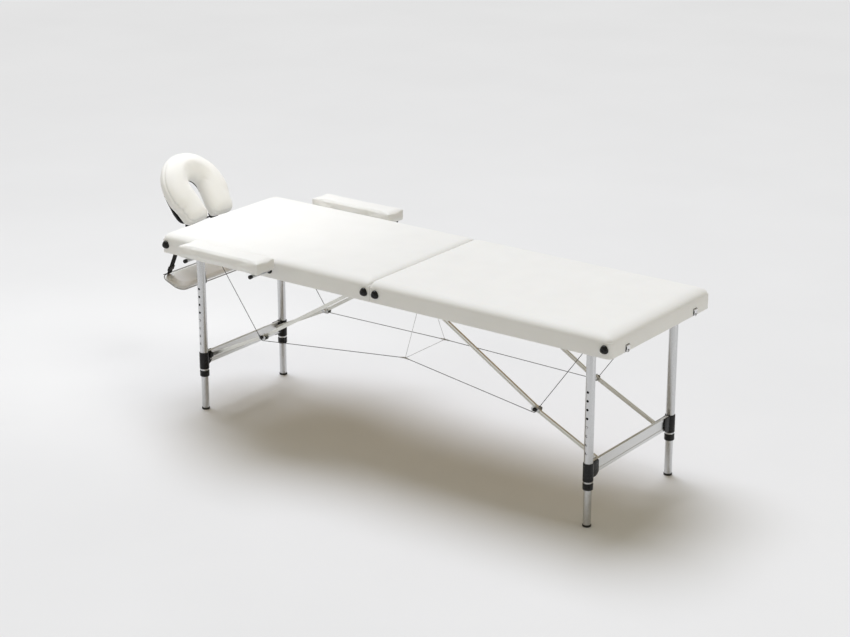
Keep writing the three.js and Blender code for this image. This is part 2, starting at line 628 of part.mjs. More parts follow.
for (const end of ENDS) {
  const band = handleBand().translate(end.dir * HANDLE_X, halfWidth + GAP, PANEL_BOTTOM_Z + RAIL_HEIGHT / 2);
  add(`${end.name}_carry_handle`, band, FINISH.webbing);
}

table.position.x = ORIGIN_SHIFT_X;

export default table;
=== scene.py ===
"""Looks for a portable two-section massage table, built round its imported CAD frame."""

import math

import bmesh
import bpy
from mathutils import Matrix, Vector, noise


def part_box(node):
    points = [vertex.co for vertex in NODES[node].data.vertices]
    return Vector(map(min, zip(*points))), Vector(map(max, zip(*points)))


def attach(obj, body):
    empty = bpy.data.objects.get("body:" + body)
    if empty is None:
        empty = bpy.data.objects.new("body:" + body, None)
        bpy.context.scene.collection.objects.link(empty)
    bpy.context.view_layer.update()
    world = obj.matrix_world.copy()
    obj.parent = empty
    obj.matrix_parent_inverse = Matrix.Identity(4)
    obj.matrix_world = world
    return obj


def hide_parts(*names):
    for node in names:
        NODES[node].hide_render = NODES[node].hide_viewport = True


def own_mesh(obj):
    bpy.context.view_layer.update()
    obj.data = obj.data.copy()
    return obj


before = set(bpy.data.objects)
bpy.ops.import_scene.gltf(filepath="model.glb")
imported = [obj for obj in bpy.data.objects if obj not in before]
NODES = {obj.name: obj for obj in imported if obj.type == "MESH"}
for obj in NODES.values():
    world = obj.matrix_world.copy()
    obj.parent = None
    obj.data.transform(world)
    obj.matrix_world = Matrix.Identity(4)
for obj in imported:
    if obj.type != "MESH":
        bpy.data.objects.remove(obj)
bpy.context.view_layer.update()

# ---- Places worked out from the frame, in metres
ENDS = {"head": -1, "foot": 1}
SIDES = {"near": -1, "far": 1}
PANEL_LO, PANEL_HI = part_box("foot_panel_frame")
HINGE_X = (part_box("head_cushion")[1].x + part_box("foot_cushion")[0].x) / 2
PANEL_LENGTH = PANEL_HI.x - HINGE_X
HALF_WIDTH = PANEL_HI.y
PANEL_BOTTOM = PANEL_LO.z
RAIL_TOP = PANEL_HI.z
BOARD_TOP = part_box("foot_panel_board")[1].z
CUSHION_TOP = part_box("foot_cushion")[1].z
PIVOT_Z = PANEL_BOTTOM + 0.026
LEG_BORE = 0.0134

# Face cradle: the front of the cushion at its lower end, and the way it leans
CRADLE_FRONT = Vector((HINGE_X - 0.942, 0, 0.668))
CRADLE_TILT = math.radians(52)
SLOPE = Vector((-math.cos(CRADLE_TILT), 0, math.sin(CRADLE_TILT)))
FACING = Vector((math.sin(CRADLE_TILT), 0, math.cos(CRADLE_TILT)))
CRADLE_THICKNESS = 0.062
CRADLE_LENGTH = 0.272
CRADLE_RADIUS = 0.157
CRADLE_HEEL = 0.138
SLOT_LOW, SLOT_HIGH, SLOT_ARC = 0.022, 0.029, 0.130
SLOT_TIGHT = 0.001

# Arm sling
SLING_AXIS = Vector((HINGE_X - 0.942, 0, 0.612))
SLING_CENTRE = Vector((HINGE_X - 0.976, 0, 0.452))
SLING_SIZE = Vector((0.104, 0.450, 0.026))
SLING_TILT = math.radians(22)
STRAP_WIDTH = 0.025


# ---- Mesh helpers
def new_object(name, mesh):
    thing = bpy.data.objects.new(name, mesh)
    bpy.context.scene.collection.objects.link(thing)
    return thing


def shade(mesh, angle=35):
    mesh.shade_smooth()
    if angle < 180:
        mesh.set_sharp_from_angle(angle=math.radians(angle))


def build(name, verts, faces, angle=35):
    """A closed mesh with its faces turned outward."""
    mesh = bpy.data.meshes.new(name)
    mesh.from_pydata([tuple(v) for v in verts], [], faces)
    solid = bmesh.new()
    solid.from_mesh(mesh)
    bmesh.ops.remove_doubles(solid, verts=solid.verts, dist=1e-6)
    bmesh.ops.recalc_face_normals(solid, faces=solid.faces)
    solid.to_mesh(mesh)
    solid.free()
    shade(mesh, angle)
    return new_object(name, mesh)


def join(name, parts):
    """One object from several."""
    verts, faces = [], []
    for part in parts:
        start = len(verts)
        verts += [part.matrix_world @ v.co for v in part.data.vertices]
        faces += [[start + i for i in p.vertices] for p in part.data.polygons]
        bpy.data.objects.remove(part)
    mesh = bpy.data.meshes.new(name)
    mesh.from_pydata(verts, [], faces)
    shade(mesh)
    return new_object(name, mesh)


def apply_modifiers(thing):
    graph = bpy.context.evaluated_depsgraph_get()
    mesh = bpy.data.meshes.new_from_object(thing.evaluated_get(graph))
    thing.modifiers.clear()
    thing.data = mesh
    return thing


def carve(thing, cutters, angle=35):
    """Cuts the cutters out of a thing, and removes them."""
    for cutter in cutters:
        cut = thing.modifiers.new("cut", "BOOLEAN")
        cut.operation = "DIFFERENCE"
        cut.solver = "EXACT"
        cut.object = cutter
    apply_modifiers(thing)
    for cutter in cutters:
        bpy.data.objects.remove(cutter)
    shade(thing.data, angle)
    return thing


def band(low, high):
    """The faces between two rings of as many points."""
    count = len(low)
    return [[low[k], low[(k + 1) % count], high[(k + 1) % count], high[k]] for k in range(count)]


def prism(name, low, high):
    """A solid between two matching outlines."""
    count = len(low)
    rings = [list(range(count)), list(range(count, 2 * count))]
    return build(name, [*low, *high], band(*rings) + rings)


def bevelled(thing, width, segments):
    bevel = thing.modifiers.new("edge", "BEVEL")
    bevel.width = width
    bevel.segments = segments
    return apply_modifiers(thing)


def facing_matrix(origin, axis):
    """Turns +Z to axis, then moves to origin."""
    turn = Vector((0, 0, 1)).rotation_difference(Vector(axis))
    return Matrix.Translation(Vector(origin)) @ turn.to_matrix().to_4x4()


def lathe(name, profile, origin, axis=(0, 0, 1), segments=40, closed=False):
    """Turns a profile of (radius, height) pairs round an axis."""
    place = facing_matrix(origin, axis)
    verts, rings = [], []
    for radius, height in profile:
        count = segments if radius > 0 else 1
        rings.append([len(verts) + i for i in range(count)])
        for i in range(count):
            turn = 2 * math.pi * i / segments
            verts.append(place @ Vector((radius * math.cos(turn), radius * math.sin(turn), height)))
    pairs = list(zip(rings, rings[1:] + rings[:1])) if closed else list(zip(rings, rings[1:]))
    faces = []
    for low, high in pairs:
        for i in range(segments):
            j = (i + 1) % segments
            corners = [low[i % len(low)], low[j % len(low)], high[j % len(high)], high[i % len(high)]]
            unique = list(dict.fromkeys(corners))
            if len(unique) > 2:
                faces.append(unique)
    return build(name, verts, faces)


def arc(centre_r, centre_h, radius, start, end, steps=5):
    """Points of a profile along an arc, with its angles in degrees from +radius towards +height."""
    points = []
    for i in range(steps + 1):
        turn = math.radians(start + (end - start) * i / steps)
        points.append((centre_r + radius * math.cos(turn), centre_h + radius * math.sin(turn)))
    return points


def pin(name, origin, axis, radius, length, fillet=0.0005, segments=32):
    """A solid round bar with rounded rims."""
    profile = [(0, 0)] + arc(radius - fillet, fillet, fillet, -90, 0, 3)
    profile += arc(radius - fillet, length - fillet, fillet, 0, 90, 3) + [(0, length)]
    return lathe(name, profile, origin, axis, segments)


def tube(name, origin, axis, outer, bore, length, fillet=0.0004, segments=48):
    """A hollow round bar with rounded rims."""
    profile = arc(outer - fillet, fillet, fillet, -90, 0, 3)
    profile += arc(outer - fillet, length - fillet, fillet, 0, 90, 3)
    profile += [(bore, length), (bore, 0)]
    return lathe(name, profile, origin, axis, segments, closed=True)


def rounded_block(name, low, high, radius=0.001, segments=3):
    """A block between two corners with rounded edges."""
    low, high = Vector(low), Vector(high)
    solid = bmesh.new()
    bmesh.ops.create_cube(solid, size=1)
    size = Vector([abs(high[i] - low[i]) for i in range(3)])
    middle = (low + high) / 2
    for v in solid.verts:
        v.co = Vector([v.co[i] * size[i] for i in range(3)]) + middle
    bmesh.ops.bevel(solid, geom=solid.edges[:], offset=radius, segments=segments, profile=0.5, affect="EDGES")
    mesh = bpy.data.meshes.new(name)
    solid.to_mesh(mesh)
    solid.free()
    shade(mesh)
    return new_object(name, mesh)


def sweep(name, points, section, closed=False, up=Vector((0, 1, 0)), twist=0.0):
    """Carries a section, a list of (side, rise) pairs or a function of distance, along points."""
    points = [Vector(p) for p in points]
    rings, verts, travelled = [], [], 0.0
    for i, point in enumerate(points):
        before = points[i - 1] if (i > 0 or closed) else point
        after = points[(i + 1) % len(points)] if (i + 1 < len(points) or closed) else point
        along = (after - before).normalized()
        if i:
            travelled += (point - points[i - 1]).length
        rise = (up - along * up.dot(along)).normalized()
        side = along.cross(rise)
        shape = section(travelled) if callable(section) else section
        turn = twist * travelled
        rings.append(range(len(verts), len(verts) + len(shape)))
        for a, b in shape:
            s, r = a * math.cos(turn) - b * math.sin(turn), a * math.sin(turn) + b * math.cos(turn)
            verts.append(point + side * s + rise * r)
    faces = []
    pairs = list(zip(rings, rings[1:])) + ([(rings[-1], rings[0])] if closed else [])
    for low, high in pairs:
        faces += band(low, high)
    if not closed:
        faces += [list(rings[0]), list(rings[-1])]
    return build(name, verts, faces, 50)


def circle(radius, sides=12):
    return [(radius * math.cos(2 * math.pi * k / sides), radius * math.sin(2 * math.pi * k / sides))
            for k in range(sides)]


def ribbon(width, thickness, bow=0.15):
    """The section of a flat strap, a little thinner at its woven edges."""
    half, thin = width / 2, thickness / 2
    steps = [-1, -0.93, -0.8, -0.4, 0, 0.4, 0.8, 0.93, 1]
    lift = [thin * (1 - bow * abs(s)) if abs(s) < 0.9 else thin * 0.55 for s in steps]
    top = [(h, s * half) for s, h in zip(steps, lift)]
    return top + [(-h, s * half) for s, h in reversed(list(zip(steps, lift)))]


def resample(points, step):
    """Points about one step apart along straight runs."""
    points = [Vector(p) for p in points]
    found = [points[0]]
    for a, b in zip(points, points[1:]):
        count = max(1, round((b - a).length / step))
        found += [a.lerp(b, k / count) for k in range(1, count + 1)]
    return found


def bell(value, centre, width):
    """1 at the centre, falling smoothly to 0 within about two widths."""
    return math.exp(-((value - centre) / width) ** 2)


def rounded_outline(half, corner, steps):
    """A rectangle's outline with round corners, as (x, y) pairs."""
    points = []
    for quarter, (sx, sy) in enumerate(((1, 1), (-1, 1), (-1, -1), (1, -1))):
        for k in range(steps + 1):
            turn = math.pi / 2 * (quarter + k / steps)
            points.append((sx * (half.x - corner) + corner * math.cos(turn),
                           sy * (half.y - corner) + corner * math.sin(turn)))
    return points


def soften(points, rounds=3):
    """Rounds the corners of a route, with its two ends kept."""
    for _ in range(rounds):
        inner = [(a + b * 2 + c) / 4 for a, b, c in zip(points, points[1:], points[2:])]
        points = [points[0], *inner, points[-1]]
    return points


def dome(radius, height, base=-0.0004):
    """Profile of a domed screw or rivet head."""
    profile = [(0, base), (radius, base), (radius, height * 0.25)]
    for k in range(1, 6):
        turn = math.pi / 2 * k / 6
        profile.append((radius * math.cos(turn), height * (0.25 + 0.75 * math.sin(turn))))
    return profile + [(0, height)]


# ---- Materials
class Finish:
    """A procedural material while its nodes are put together."""

    def __init__(self, name, colour, roughness, metallic=0.0):
        self.material = bpy.data.materials.new(name)
        self.material.use_nodes = True
        self.tree = self.material.node_tree
        self.shader = self.tree.nodes["Principled BSDF"]
        self.set("Base Color", (*colour, 1))
        self.set("Roughness", roughness)
        self.set("Metallic", metallic)
        self.place = self.node("ShaderNodeTexCoord").outputs["Object"]
        self.normal = None

    def set(self, name, value):
        self.shader.inputs[name].default_value = value

    def node(self, kind):
        return self.tree.nodes.new(kind)

    def link(self, source, target):
        self.tree.links.new(source, target)

    def stretched(self, scale):
        mapping = self.node("ShaderNodeMapping")
        mapping.inputs["Scale"].default_value = scale
        self.link(self.place, mapping.inputs["Vector"])
        return mapping.outputs["Vector"]

    def noise(self, scale, detail=3.0, stretch=(1, 1, 1)):
        texture = self.node("ShaderNodeTexNoise")
        texture.inputs["Scale"].default_value = scale
        texture.inputs["Detail"].default_value = detail
        self.link(self.stretched(stretch), texture.inputs["Vector"])
        return texture.outputs["Fac"]

    def cells(self, scale, feature="F1"):
        texture = self.node("ShaderNodeTexVoronoi")
        texture.feature = feature
        texture.inputs["Scale"].default_value = scale
        self.link(self.place, texture.inputs["Vector"])
        return texture.outputs["Distance"]

    def wave(self, scale, direction="X", stretch=(1, 1, 1), distortion=0.0):
        texture = self.node("ShaderNodeTexWave")
        texture.bands_direction = direction
        texture.inputs["Scale"].default_value = scale
        texture.inputs["Distortion"].default_value = distortion
        self.link(self.stretched(stretch), texture.inputs["Vector"])
        return texture.outputs["Fac"]

    def range(self, source, low, high, out_low, out_high):
        mapped = self.node("ShaderNodeMapRange")
        for name, value in zip(("From Min", "From Max", "To Min", "To Max"), (low, high, out_low, out_high)):
            mapped.inputs[name].default_value = value
        self.link(source, mapped.inputs["Value"])
        return mapped.outputs["Result"]

    def maths(self, operation, a, b):
        sum_node = self.node("ShaderNodeMath")
        sum_node.operation = operation
        for source, target in zip((a, b), sum_node.inputs):
            if isinstance(source, (int, float)):
                target.default_value = source
            else:
                self.link(source, target)
        return sum_node.outputs[0]

    def tint(self, source, low, high, dark, light):
        mix = self.node("ShaderNodeMix")
        mix.data_type = "RGBA"
        mix.inputs[6].default_value = (*dark, 1)
        mix.inputs[7].default_value = (*light, 1)
        self.link(self.range(source, low, high, 0, 1), mix.inputs[0])
        self.link(mix.outputs[2], self.shader.inputs["Base Color"])

    def rough(self, source, low, high, smooth, coarse):
        self.link(self.range(source, low, high, smooth, coarse), self.shader.inputs["Roughness"])

    def bump(self, source, strength, distance):
        bump = self.node("ShaderNodeBump")
        bump.inputs["Strength"].default_value = strength
        bump.inputs["Distance"].default_value = distance
        self.link(source, bump.inputs["Height"])
        if self.normal:
            self.link(self.normal, bump.inputs["Normal"])
        self.normal = bump.outputs["Normal"]
        self.link(self.normal, self.shader.inputs["Normal"])


def leatherette(name="leatherette", colour=(0.86, 0.855, 0.83)):
    """Soft white PU: fine pebble grain, faint creases, a dull sheen and slightly greyer hollows."""
    f = Finish(name, colour, 0.56)
    f.set("Specular IOR Level", 0.24)
    f.set("Sheen Weight", 0.06)
    f.set("Sheen Roughness", 0.5)
    f.set("Subsurface Weight", 0.04)
    f.set("Subsurface Radius", (0.004, 0.003, 0.002))
    f.set("Subsurface Scale", 0.5)
    grain = f.cells(950, "SMOOTH_F1")
    soft = f.noise(9, 3)
    dark = tuple(c * 0.975 for c in colour)
    f.tint(soft, 0.3, 0.7, dark, colour)
    f.rough(f.noise(420, 4), 0.3, 0.7, 0.50, 0.64)
    f.bump(f.noise(70, 3), 0.08, 0.0006)
    f.bump(grain, 0.22, 0.0002)
    return f.material


def aluminium(name, along, colour=(0.74, 0.745, 0.75), rough=0.30):
    """Satin anodised tube: fine drawing lines along its length, and a few soft handling marks."""
    f = Finish(name, colour, rough, 1.0)
    stretch = [1.0, 1.0, 1.0]
    stretch["XYZ".index(along)] = 0.012
    lines = f.noise(2600, 2, tuple(stretch))
    marks = f.noise(26, 4)
    f.tint(f.maths("ADD", f.maths("MULTIPLY", lines, 0.5), f.maths("MULTIPLY", marks, 0.5)),
           0.3, 0.7, tuple(c * 0.95 for c in colour), colour)
    f.rough(f.maths("ADD", lines, f.maths("MULTIPLY", marks, 0.6)), 0.55, 1.05, rough - 0.05, rough + 0.09)
    f.bump(lines, 0.10, 0.0001)
    return f.material


def moulded_plastic(name="black_moulding", colour=(0.006, 0.006, 0.0065), rough=0.24):
    """Black injection moulding: near gloss, with a faint spark texture and scuffs."""
    f = Finish(name, colour, rough)
    f.set("Specular IOR Level", 0.28)
    scuff = f.noise(60, 5)
    f.tint(scuff, 0.35, 0.75, colour, tuple(c * 1.7 + 0.002 for c in colour))
    f.rough(scuff, 0.3, 0.75, rough - 0.04, rough + 0.16)
    f.bump(f.noise(1500, 2), 0.06, 0.0001)
    return f.material


def rubber():
    f = Finish("foot_rubber", (0.018, 0.018, 0.018), 0.72)
    dust = f.noise(140, 5)
    f.tint(dust, 0.4, 0.72, (0.014, 0.014, 0.014), (0.05, 0.048, 0.044))
    f.rough(dust, 0.3, 0.7, 0.62, 0.86)
    f.bump(f.noise(900, 3), 0.2, 0.0002)
    return f.material


def chrome(name="chrome_plate", colour=(0.80, 0.80, 0.81), rough=0.12):
    f = Finish(name, colour, rough, 1.0)
    haze = f.noise(90, 4)
    f.tint(haze, 0.35, 0.7, tuple(c * 0.88 for c in colour), colour)
    f.rough(haze, 0.35, 0.7, rough - 0.03, rough + 0.12)
    f.bump(f.noise(700, 2), 0.04, 0.0001)
    return f.material


def zinc_steel(name="zinc_steel"):
    """Zinc-plated pressed steel, with its faint spangle."""
    f = Finish(name, (0.52, 0.53, 0.54), 0.34, 1.0)
    spangle = f.cells(240)
    f.tint(spangle, 0.1, 0.6, (0.42, 0.43, 0.45), (0.60, 0.61, 0.61))
    f.rough(f.noise(180, 4), 0.3, 0.7, 0.26, 0.46)
    f.bump(f.noise(400, 3), 0.08, 0.0002)
    return f.material


def stranded_wire():
    f = Finish("stranded_wire", (0.13, 0.13, 0.132), 0.42, 0.8)
    lay = f.wave(420, "DIAGONAL")
    f.tint(lay, 0.2, 0.8, (0.05, 0.05, 0.05), (0.20, 0.20, 0.20))
    f.rough(lay, 0, 1, 0.36, 0.52)
    f.bump(lay, 0.35, 0.0003)
    return f.material


def elastic_cord():
    f = Finish("elastic_cord", (0.30, 0.30, 0.29), 0.8)
    braid = f.wave(700, "DIAGONAL")
    f.tint(braid, 0.2, 0.8, (0.22, 0.22, 0.21), (0.44, 0.44, 0.42))
    f.rough(braid, 0, 1, 0.7, 0.9)
    f.bump(braid, 0.4, 0.0003)
    return f.material


def webbing():
    """Black polypropylene webbing: ribs across the strap over a finer lengthwise weave."""
    f = Finish("black_webbing", (0.016, 0.016, 0.017), 0.78)
    f.set("Specular IOR Level", 0.2)
    f.set("Sheen Weight", 0.08)
    f.set("Sheen Roughness", 0.4)
    weave = f.maths("MULTIPLY", f.wave(330, "Z"), f.wave(420, "Y"))
    f.tint(weave, 0.1, 0.8, (0.005, 0.005, 0.0055), (0.020, 0.020, 0.021))
    f.rough(weave, 0, 1, 0.66, 0.9)
    f.bump(weave, 0.5, 0.0005)
    return f.material


def piping():
    f = Finish("grey_piping", (0.34, 0.335, 0.32), 0.55)
    rib = f.wave(500, "Y")
    f.tint(rib, 0.2, 0.9, (0.27, 0.265, 0.25), (0.42, 0.415, 0.40))
    f.rough(rib, 0, 1, 0.48, 0.64)
    f.bump(rib, 0.2, 0.0002)
    return f.material


def plywood(name, colour, dark):
    """Birch: long soft figure, fine pores and a little sealer gloss."""
    f = Finish(name, colour, 0.55)
    figure = f.wave(7, "Y", (0.35, 5, 1), 6.0)
    pores = f.noise(500, 3, (0.05, 1, 1))
    f.tint(f.maths("ADD", f.maths("MULTIPLY", figure, 0.6), f.maths("MULTIPLY", pores, 0.4)),
           0.2, 0.9, dark, colour)
    f.rough(pores, 0.3, 0.7, 0.48, 0.66)
    f.bump(pores, 0.15, 0.0002)
    return f.material


def studio_floor():
    f = Finish("studio_floor", (0.80, 0.80, 0.80), 0.85)
    f.set("Specular IOR Level", 0.15)
    f.tint(f.noise(1.2, 3), 0.3, 0.7, (0.79, 0.79, 0.79), (0.81, 0.81, 0.81))
    return f.material


LEATHER = leatherette()
TUBE = aluminium("satin_aluminium_upright", "Z", (0.62, 0.625, 0.63), 0.24)
BAR = aluminium("satin_aluminium_crosswise", "Y", (0.71, 0.715, 0.71), 0.34)
STRUT = aluminium("satin_aluminium_strut", "X", (0.78, 0.78, 0.74), 0.40)
# Near-black aluminium for the tube's bore and hole walls: painted shade inside the tube, whose real metal is
# as bright as outside
PAINTED_SHADE_BORE = aluminium("bore_painted_shade", "Z", (0.035, 0.035, 0.036), 0.6)
PLASTIC = moulded_plastic()
DULL_PLASTIC = moulded_plastic("black_plate", (0.006, 0.006, 0.0065), 0.42)
RUBBER = rubber()
CHROME = chrome()
# Dark chrome for the latch's base plate: painted shade of the gap behind the lever, on a plate that is really
# chrome
PAINTED_GAP_SHADE_STEEL = chrome("latch_base_painted_shade", (0.10, 0.10, 0.105), 0.30)
ZINC = zinc_steel()
WIRE = stranded_wire()
CORD = elastic_cord()
WEBBING = webbing()
PIPING = piping()
RAIL_WOOD = plywood("birch_rail", (0.62, 0.47, 0.29), (0.46, 0.32, 0.18))
BOARD_WOOD = plywood("birch_board", (0.66, 0.52, 0.35), (0.50, 0.37, 0.22))


def finish_piece(thing, material, body, replaces=()):
    """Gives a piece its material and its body."""
    thing.data.materials.clear()
    thing.data.materials.append(material)
    if body:
        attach(thing, body)
    if replaces:
        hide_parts(*replaces)
    return thing


def refine_cad(name, material, width=0.0006):
    """Keeps a CAD node, with rounded edges and a real finish."""
    node = NODES[name]
    node.data.materials.clear()
    node.data.materials.append(material)
    weld = node.modifiers.new("weld", "WELD")
    weld.merge_threshold = 0.00002
    if width:
        bevel = node.modifiers.new("edges", "BEVEL")
        bevel.width = width
        bevel.segments = 2
        bevel.limit_method = "ANGLE"
        bevel.angle_limit = math.radians(40)
        bevel.use_clamp_overlap = True
    normals = node.modifiers.new("normals", "WEIGHTED_NORMAL")
    normals.keep_sharp = False
    for polygon in node.data.polygons:
        polygon.use_smooth = True


def add_stud(name, head, place, axis, body, segments=20):
    """A bright domed screw or rivet head, from its (radius, height, base)."""
    finish_piece(lathe(name, dome(*head), place, axis, segments), CHROME, body)


def add_socket(name, bore, lead, place, axis):
    """Flanged socket in the head panel, for an armrest's rod or one of the cradle's prongs."""
    flange = [(bore, -0.0002), (bore + 0.0061, -0.0002), (bore + 0.0064, 0.0006)]
    flange += arc(bore + 0.0048, 0.0016, 0.0016, 0, 90, 4) + [(bore + lead, 0.0032), (bore, 0.0026)]
    finish_piece(lathe(name, flange, place, axis, 36, closed=True), PLASTIC, "head_panel")


# ---- Bed upholstery
# How far the cover stands out from the CAD cushion, in from the middle, and up at its crown;
# the width and drop of its rolled edges; and the rings' distances from an edge
COVER_PROUD = 0.0011
COVER_MIDDLE = 0.00035
COVER_CROWN = 0.0022
SIDE_ROLL = (0.046, 0.0250)
MIDDLE_ROLL = (0.028, 0.0135)
ROLL_POWER = 5  # how squarely two rolled edges meet at a corner
FAR_CORNER = 0.016 + COVER_PROUD
MIDDLE_CORNER = 0.0015
LIP_REACH = 0.013
BOARD_EDGE = 0.0085
GATHER_PITCH = 0.027
SIDE_STEPS = 9
EDGE_STEPS = [0, 0.0008, 0.0020, 0.0038, 0.0062, 0.0094, 0.0134, 0.0182, 0.0240, 0.0308, 0.0386, 0.0474]


def graded(low, high, step=0.014):
    """Places from low to high, close together near both ends."""
    inner_low, inner_high = low + EDGE_STEPS[-1], high - EDGE_STEPS[-1]
    count = math.ceil((inner_high - inner_low) / step)
    middle = [inner_low + (inner_high - inner_low) * k / count for k in range(1, count)]
    return [low + s for s in EDGE_STEPS] + middle + [high - s for s in reversed(EDGE_STEPS)]


def round_corner(u, y, length, half):
    """Moves a place on the square-cornered grid to the outline with round corners."""
    radius = FAR_CORNER if u > length / 2 else MIDDLE_CORNER
    corner_u = length - radius if u > length / 2 else COVER_MIDDLE + radius
    away_u = 1 if u > length / 2 else -1
    away_y = 1 if y > 0 else -1
    corner_y = half - radius
    a = (u - corner_u) * away_u / radius
    b = (abs(y) - corner_y) / radius
    if a <= 0 or b <= 0:
        return u, y
    return (corner_u + away_u * radius * a * math.sqrt(1 - b * b / 2),
            away_y * (corner_y + radius * b * math.sqrt(1 - a * a / 2)))


def cover_height(u, y, length, half):
    """Height of the padded top: crowned, and rolled over at all four edges."""
    across = max(0.0, 1 - (half - abs(y)) / SIDE_ROLL[0])
    far = max(0.0, 1 - (length - u) / SIDE_ROLL[0])
    middle = max(0.0, 1 - (u - COVER_MIDDLE) / MIDDLE_ROLL[0])
    side = max(across, far)
    outer = min(1.0, (across ** ROLL_POWER + far ** ROLL_POWER) ** (1 / ROLL_POWER))
    total = outer ** ROLL_POWER + middle ** ROLL_POWER
    share = min(1.0, total ** (1 / ROLL_POWER))
    weight = middle ** ROLL_POWER / total if share > 0 else 0
    drop = SIDE_ROLL[1] * (1 - weight) + MIDDLE_ROLL[1] * weight
    crown = COVER_CROWN * (1 - (y / half) ** 4) * (1 - (2 * u / length - 1) ** 6)
    swell = 0.0013 * bell(u, 0.060, 0.026) * (1 - side)
    ripple = 0.00035 * noise.noise(Vector((u * 7, y * 9, 3.1)))
    ripple += 0.00022 * noise.noise(Vector((u * 23, y * 23, 7.7))) * (1 - share)
    return CUSHION_TOP - 0.0006 + crown + swell + ripple - drop * (1 - math.sqrt(1 - share * share))


def bottom_height(u, y):
    """The cover wraps under the rails, but stops at the hinge where the panels meet."""
    wrap = PANEL_BOTTOM - 0.0014
    stop = PANEL_BOTTOM - 0.00006
    if u > 0.004:
        return wrap
    blend = min(1.0, max(0.0, (abs(y) - 0.284) / 0.010))
    return stop + (wrap - stop) * blend


def side_swell(share, distance, u, y, length):
    """How far the side stands out: soft in the middle, gathered a little towards the staples."""
    if u < 0.002:
        return 0.0
    bulge = 0.0007 * math.sin(math.pi * min(1.0, share * 1.1))
    wobble = 2 * noise.noise(Vector((distance * 9, 0, 5)))
    gather = 0.00022 * math.sin(distance * 2 * math.pi / GATHER_PITCH + wobble)
    corner = abs(length - u) + abs(HALF_WIDTH - abs(y))
    pleat = 0.0011 * bell(corner, 0.0095, 0.0030) * share
    return bulge + gather * share ** 2 - pleat


def bed_cover(end, away):
    """One closed shell: crowned top, rolled edges, sides, the lip under the rails and the inner face."""
    length, half = PANEL_LENGTH + COVER_PROUD, HALF_WIDTH + COVER_PROUD
    us, ys = graded(COVER_MIDDLE, length), graded(-half, half)
    columns, rows = len(us), len(ys)
    verts = []

    def place(u, y, z):
        verts.append(Vector((HINGE_X + away * u, y, z)))
        return len(verts) - 1

    top = [[place(*round_corner(u, y, length, half), cover_height(u, y, length, half)) for y in ys]
           for u in us]
    faces = [[top[i][j], top[i + 1][j], top[i + 1][j + 1], top[i][j + 1]]
             for i in range(columns - 1) for j in range(rows - 1)]
    rim = [top[i][0] for i in range(columns)] + [top[-1][j] for j in range(1, rows)]
    rim += [top[i][-1] for i in range(columns - 2, -1, -1)] + [top[0][j] for j in range(rows - 2, 0, -1)]
    outline = [(abs(verts[k].x - HINGE_X), verts[k].y, verts[k].z) for k in rim]
    count = len(outline)
    normals, travelled, distance = [], [], 0.0
    for k in range(count):
        before, after = outline[k - 1], outline[(k + 1) % count]
        along = Vector((after[0] - before[0], after[1] - before[1]))
        normals.append(Vector((along.y, -along.x)).normalized())
        distance += math.hypot(outline[k][0] - before[0], outline[k][1] - before[1])
        travelled.append(distance)

    def ring(offset, height):
        """A ring round the outline, with its offset and height worked out at each place."""
        found = []
        for k, (u, y, z) in enumerate(outline):
            out = offset(k, u, y)
            new_u = u + normals[k].x * out
            if out > 0:
                new_u = max(COVER_MIDDLE, new_u)
            found.append(place(new_u, y + normals[k].y * out, height(u, y, z)))
        return found

    def inward(amount):
        return lambda k, u, y: -0.00010 if u < 0.002 else -amount

    rings = [rim]
    for s in range(1, SIDE_STEPS + 1):
        t = s / SIDE_STEPS
        rings.append(ring(lambda k, u, y, t=t: side_swell(t, travelled[k], u, y, length) * (1 - t ** 8),
                          lambda u, y, z, t=t: z + (bottom_height(u, y) + 0.0010 - z) * t))
    rings.append(ring(lambda k, u, y: 0.0 if u < 0.002 else -0.0004, lambda u, y, z: bottom_height(u, y)))

    def lip(height):
        found = []
        for u, y, z in outline:
            reach = LIP_REACH if u > 0.002 else 0.00006
            lip_u = min(u, length - LIP_REACH) if u > 0.002 else u + reach
            lip_y = max(-half + LIP_REACH, min(half - LIP_REACH, y))
            found.append(place(lip_u, lip_y, height(u, y)))
        return found

    rings.append(lip(lambda u, y: bottom_height(u, y) + 0.00002))
    rings.append(lip(lambda u, y: min(PANEL_BOTTOM - 0.0003, bottom_height(u, y) + 0.0009)
                     if u > 0.004 else bottom_height(u, y) + 0.00009))
    rings.append(ring(inward(0.00075), lambda u, y, z: PANEL_BOTTOM - 0.0002 if u > 0.004
                      else PANEL_BOTTOM + 0.0002))
    rings.append(ring(inward(0.00075), lambda u, y, z: RAIL_TOP + 0.0001))
    rings.append(ring(inward(BOARD_EDGE), lambda u, y, z: RAIL_TOP + 0.0002))
    rings.append(ring(inward(BOARD_EDGE), lambda u, y, z: BOARD_TOP + 0.00025))
    for low, high in zip(rings, rings[1:]):
        faces += band(low, high)
    faces.append(rings[-1])
    return build(f"{end}_cover", verts, faces, 60)


def rod_hole(centre, axis, radius):
    """Cutter for a rod's hole through the cover."""
    start = Vector(centre) - Vector(axis) * HOLE_DEPTH / 2
    return pin("cut_rod", start, axis, radius + 0.0004, HOLE_DEPTH, 0.0002, 24)


ROD_LO, ROD_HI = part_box("near_armrest_frame")
ROD_RADIUS = 0.006
ROD_X = (ROD_LO.x + 0.008 + ROD_RADIUS, ROD_HI.x - 0.008 - ROD_RADIUS)
ROD_Z = 0.631
PRONG_Y, PRONG_Z, PRONG_RADIUS = 0.075, 0.618, 0.005
HOLE_DEPTH = 0.012


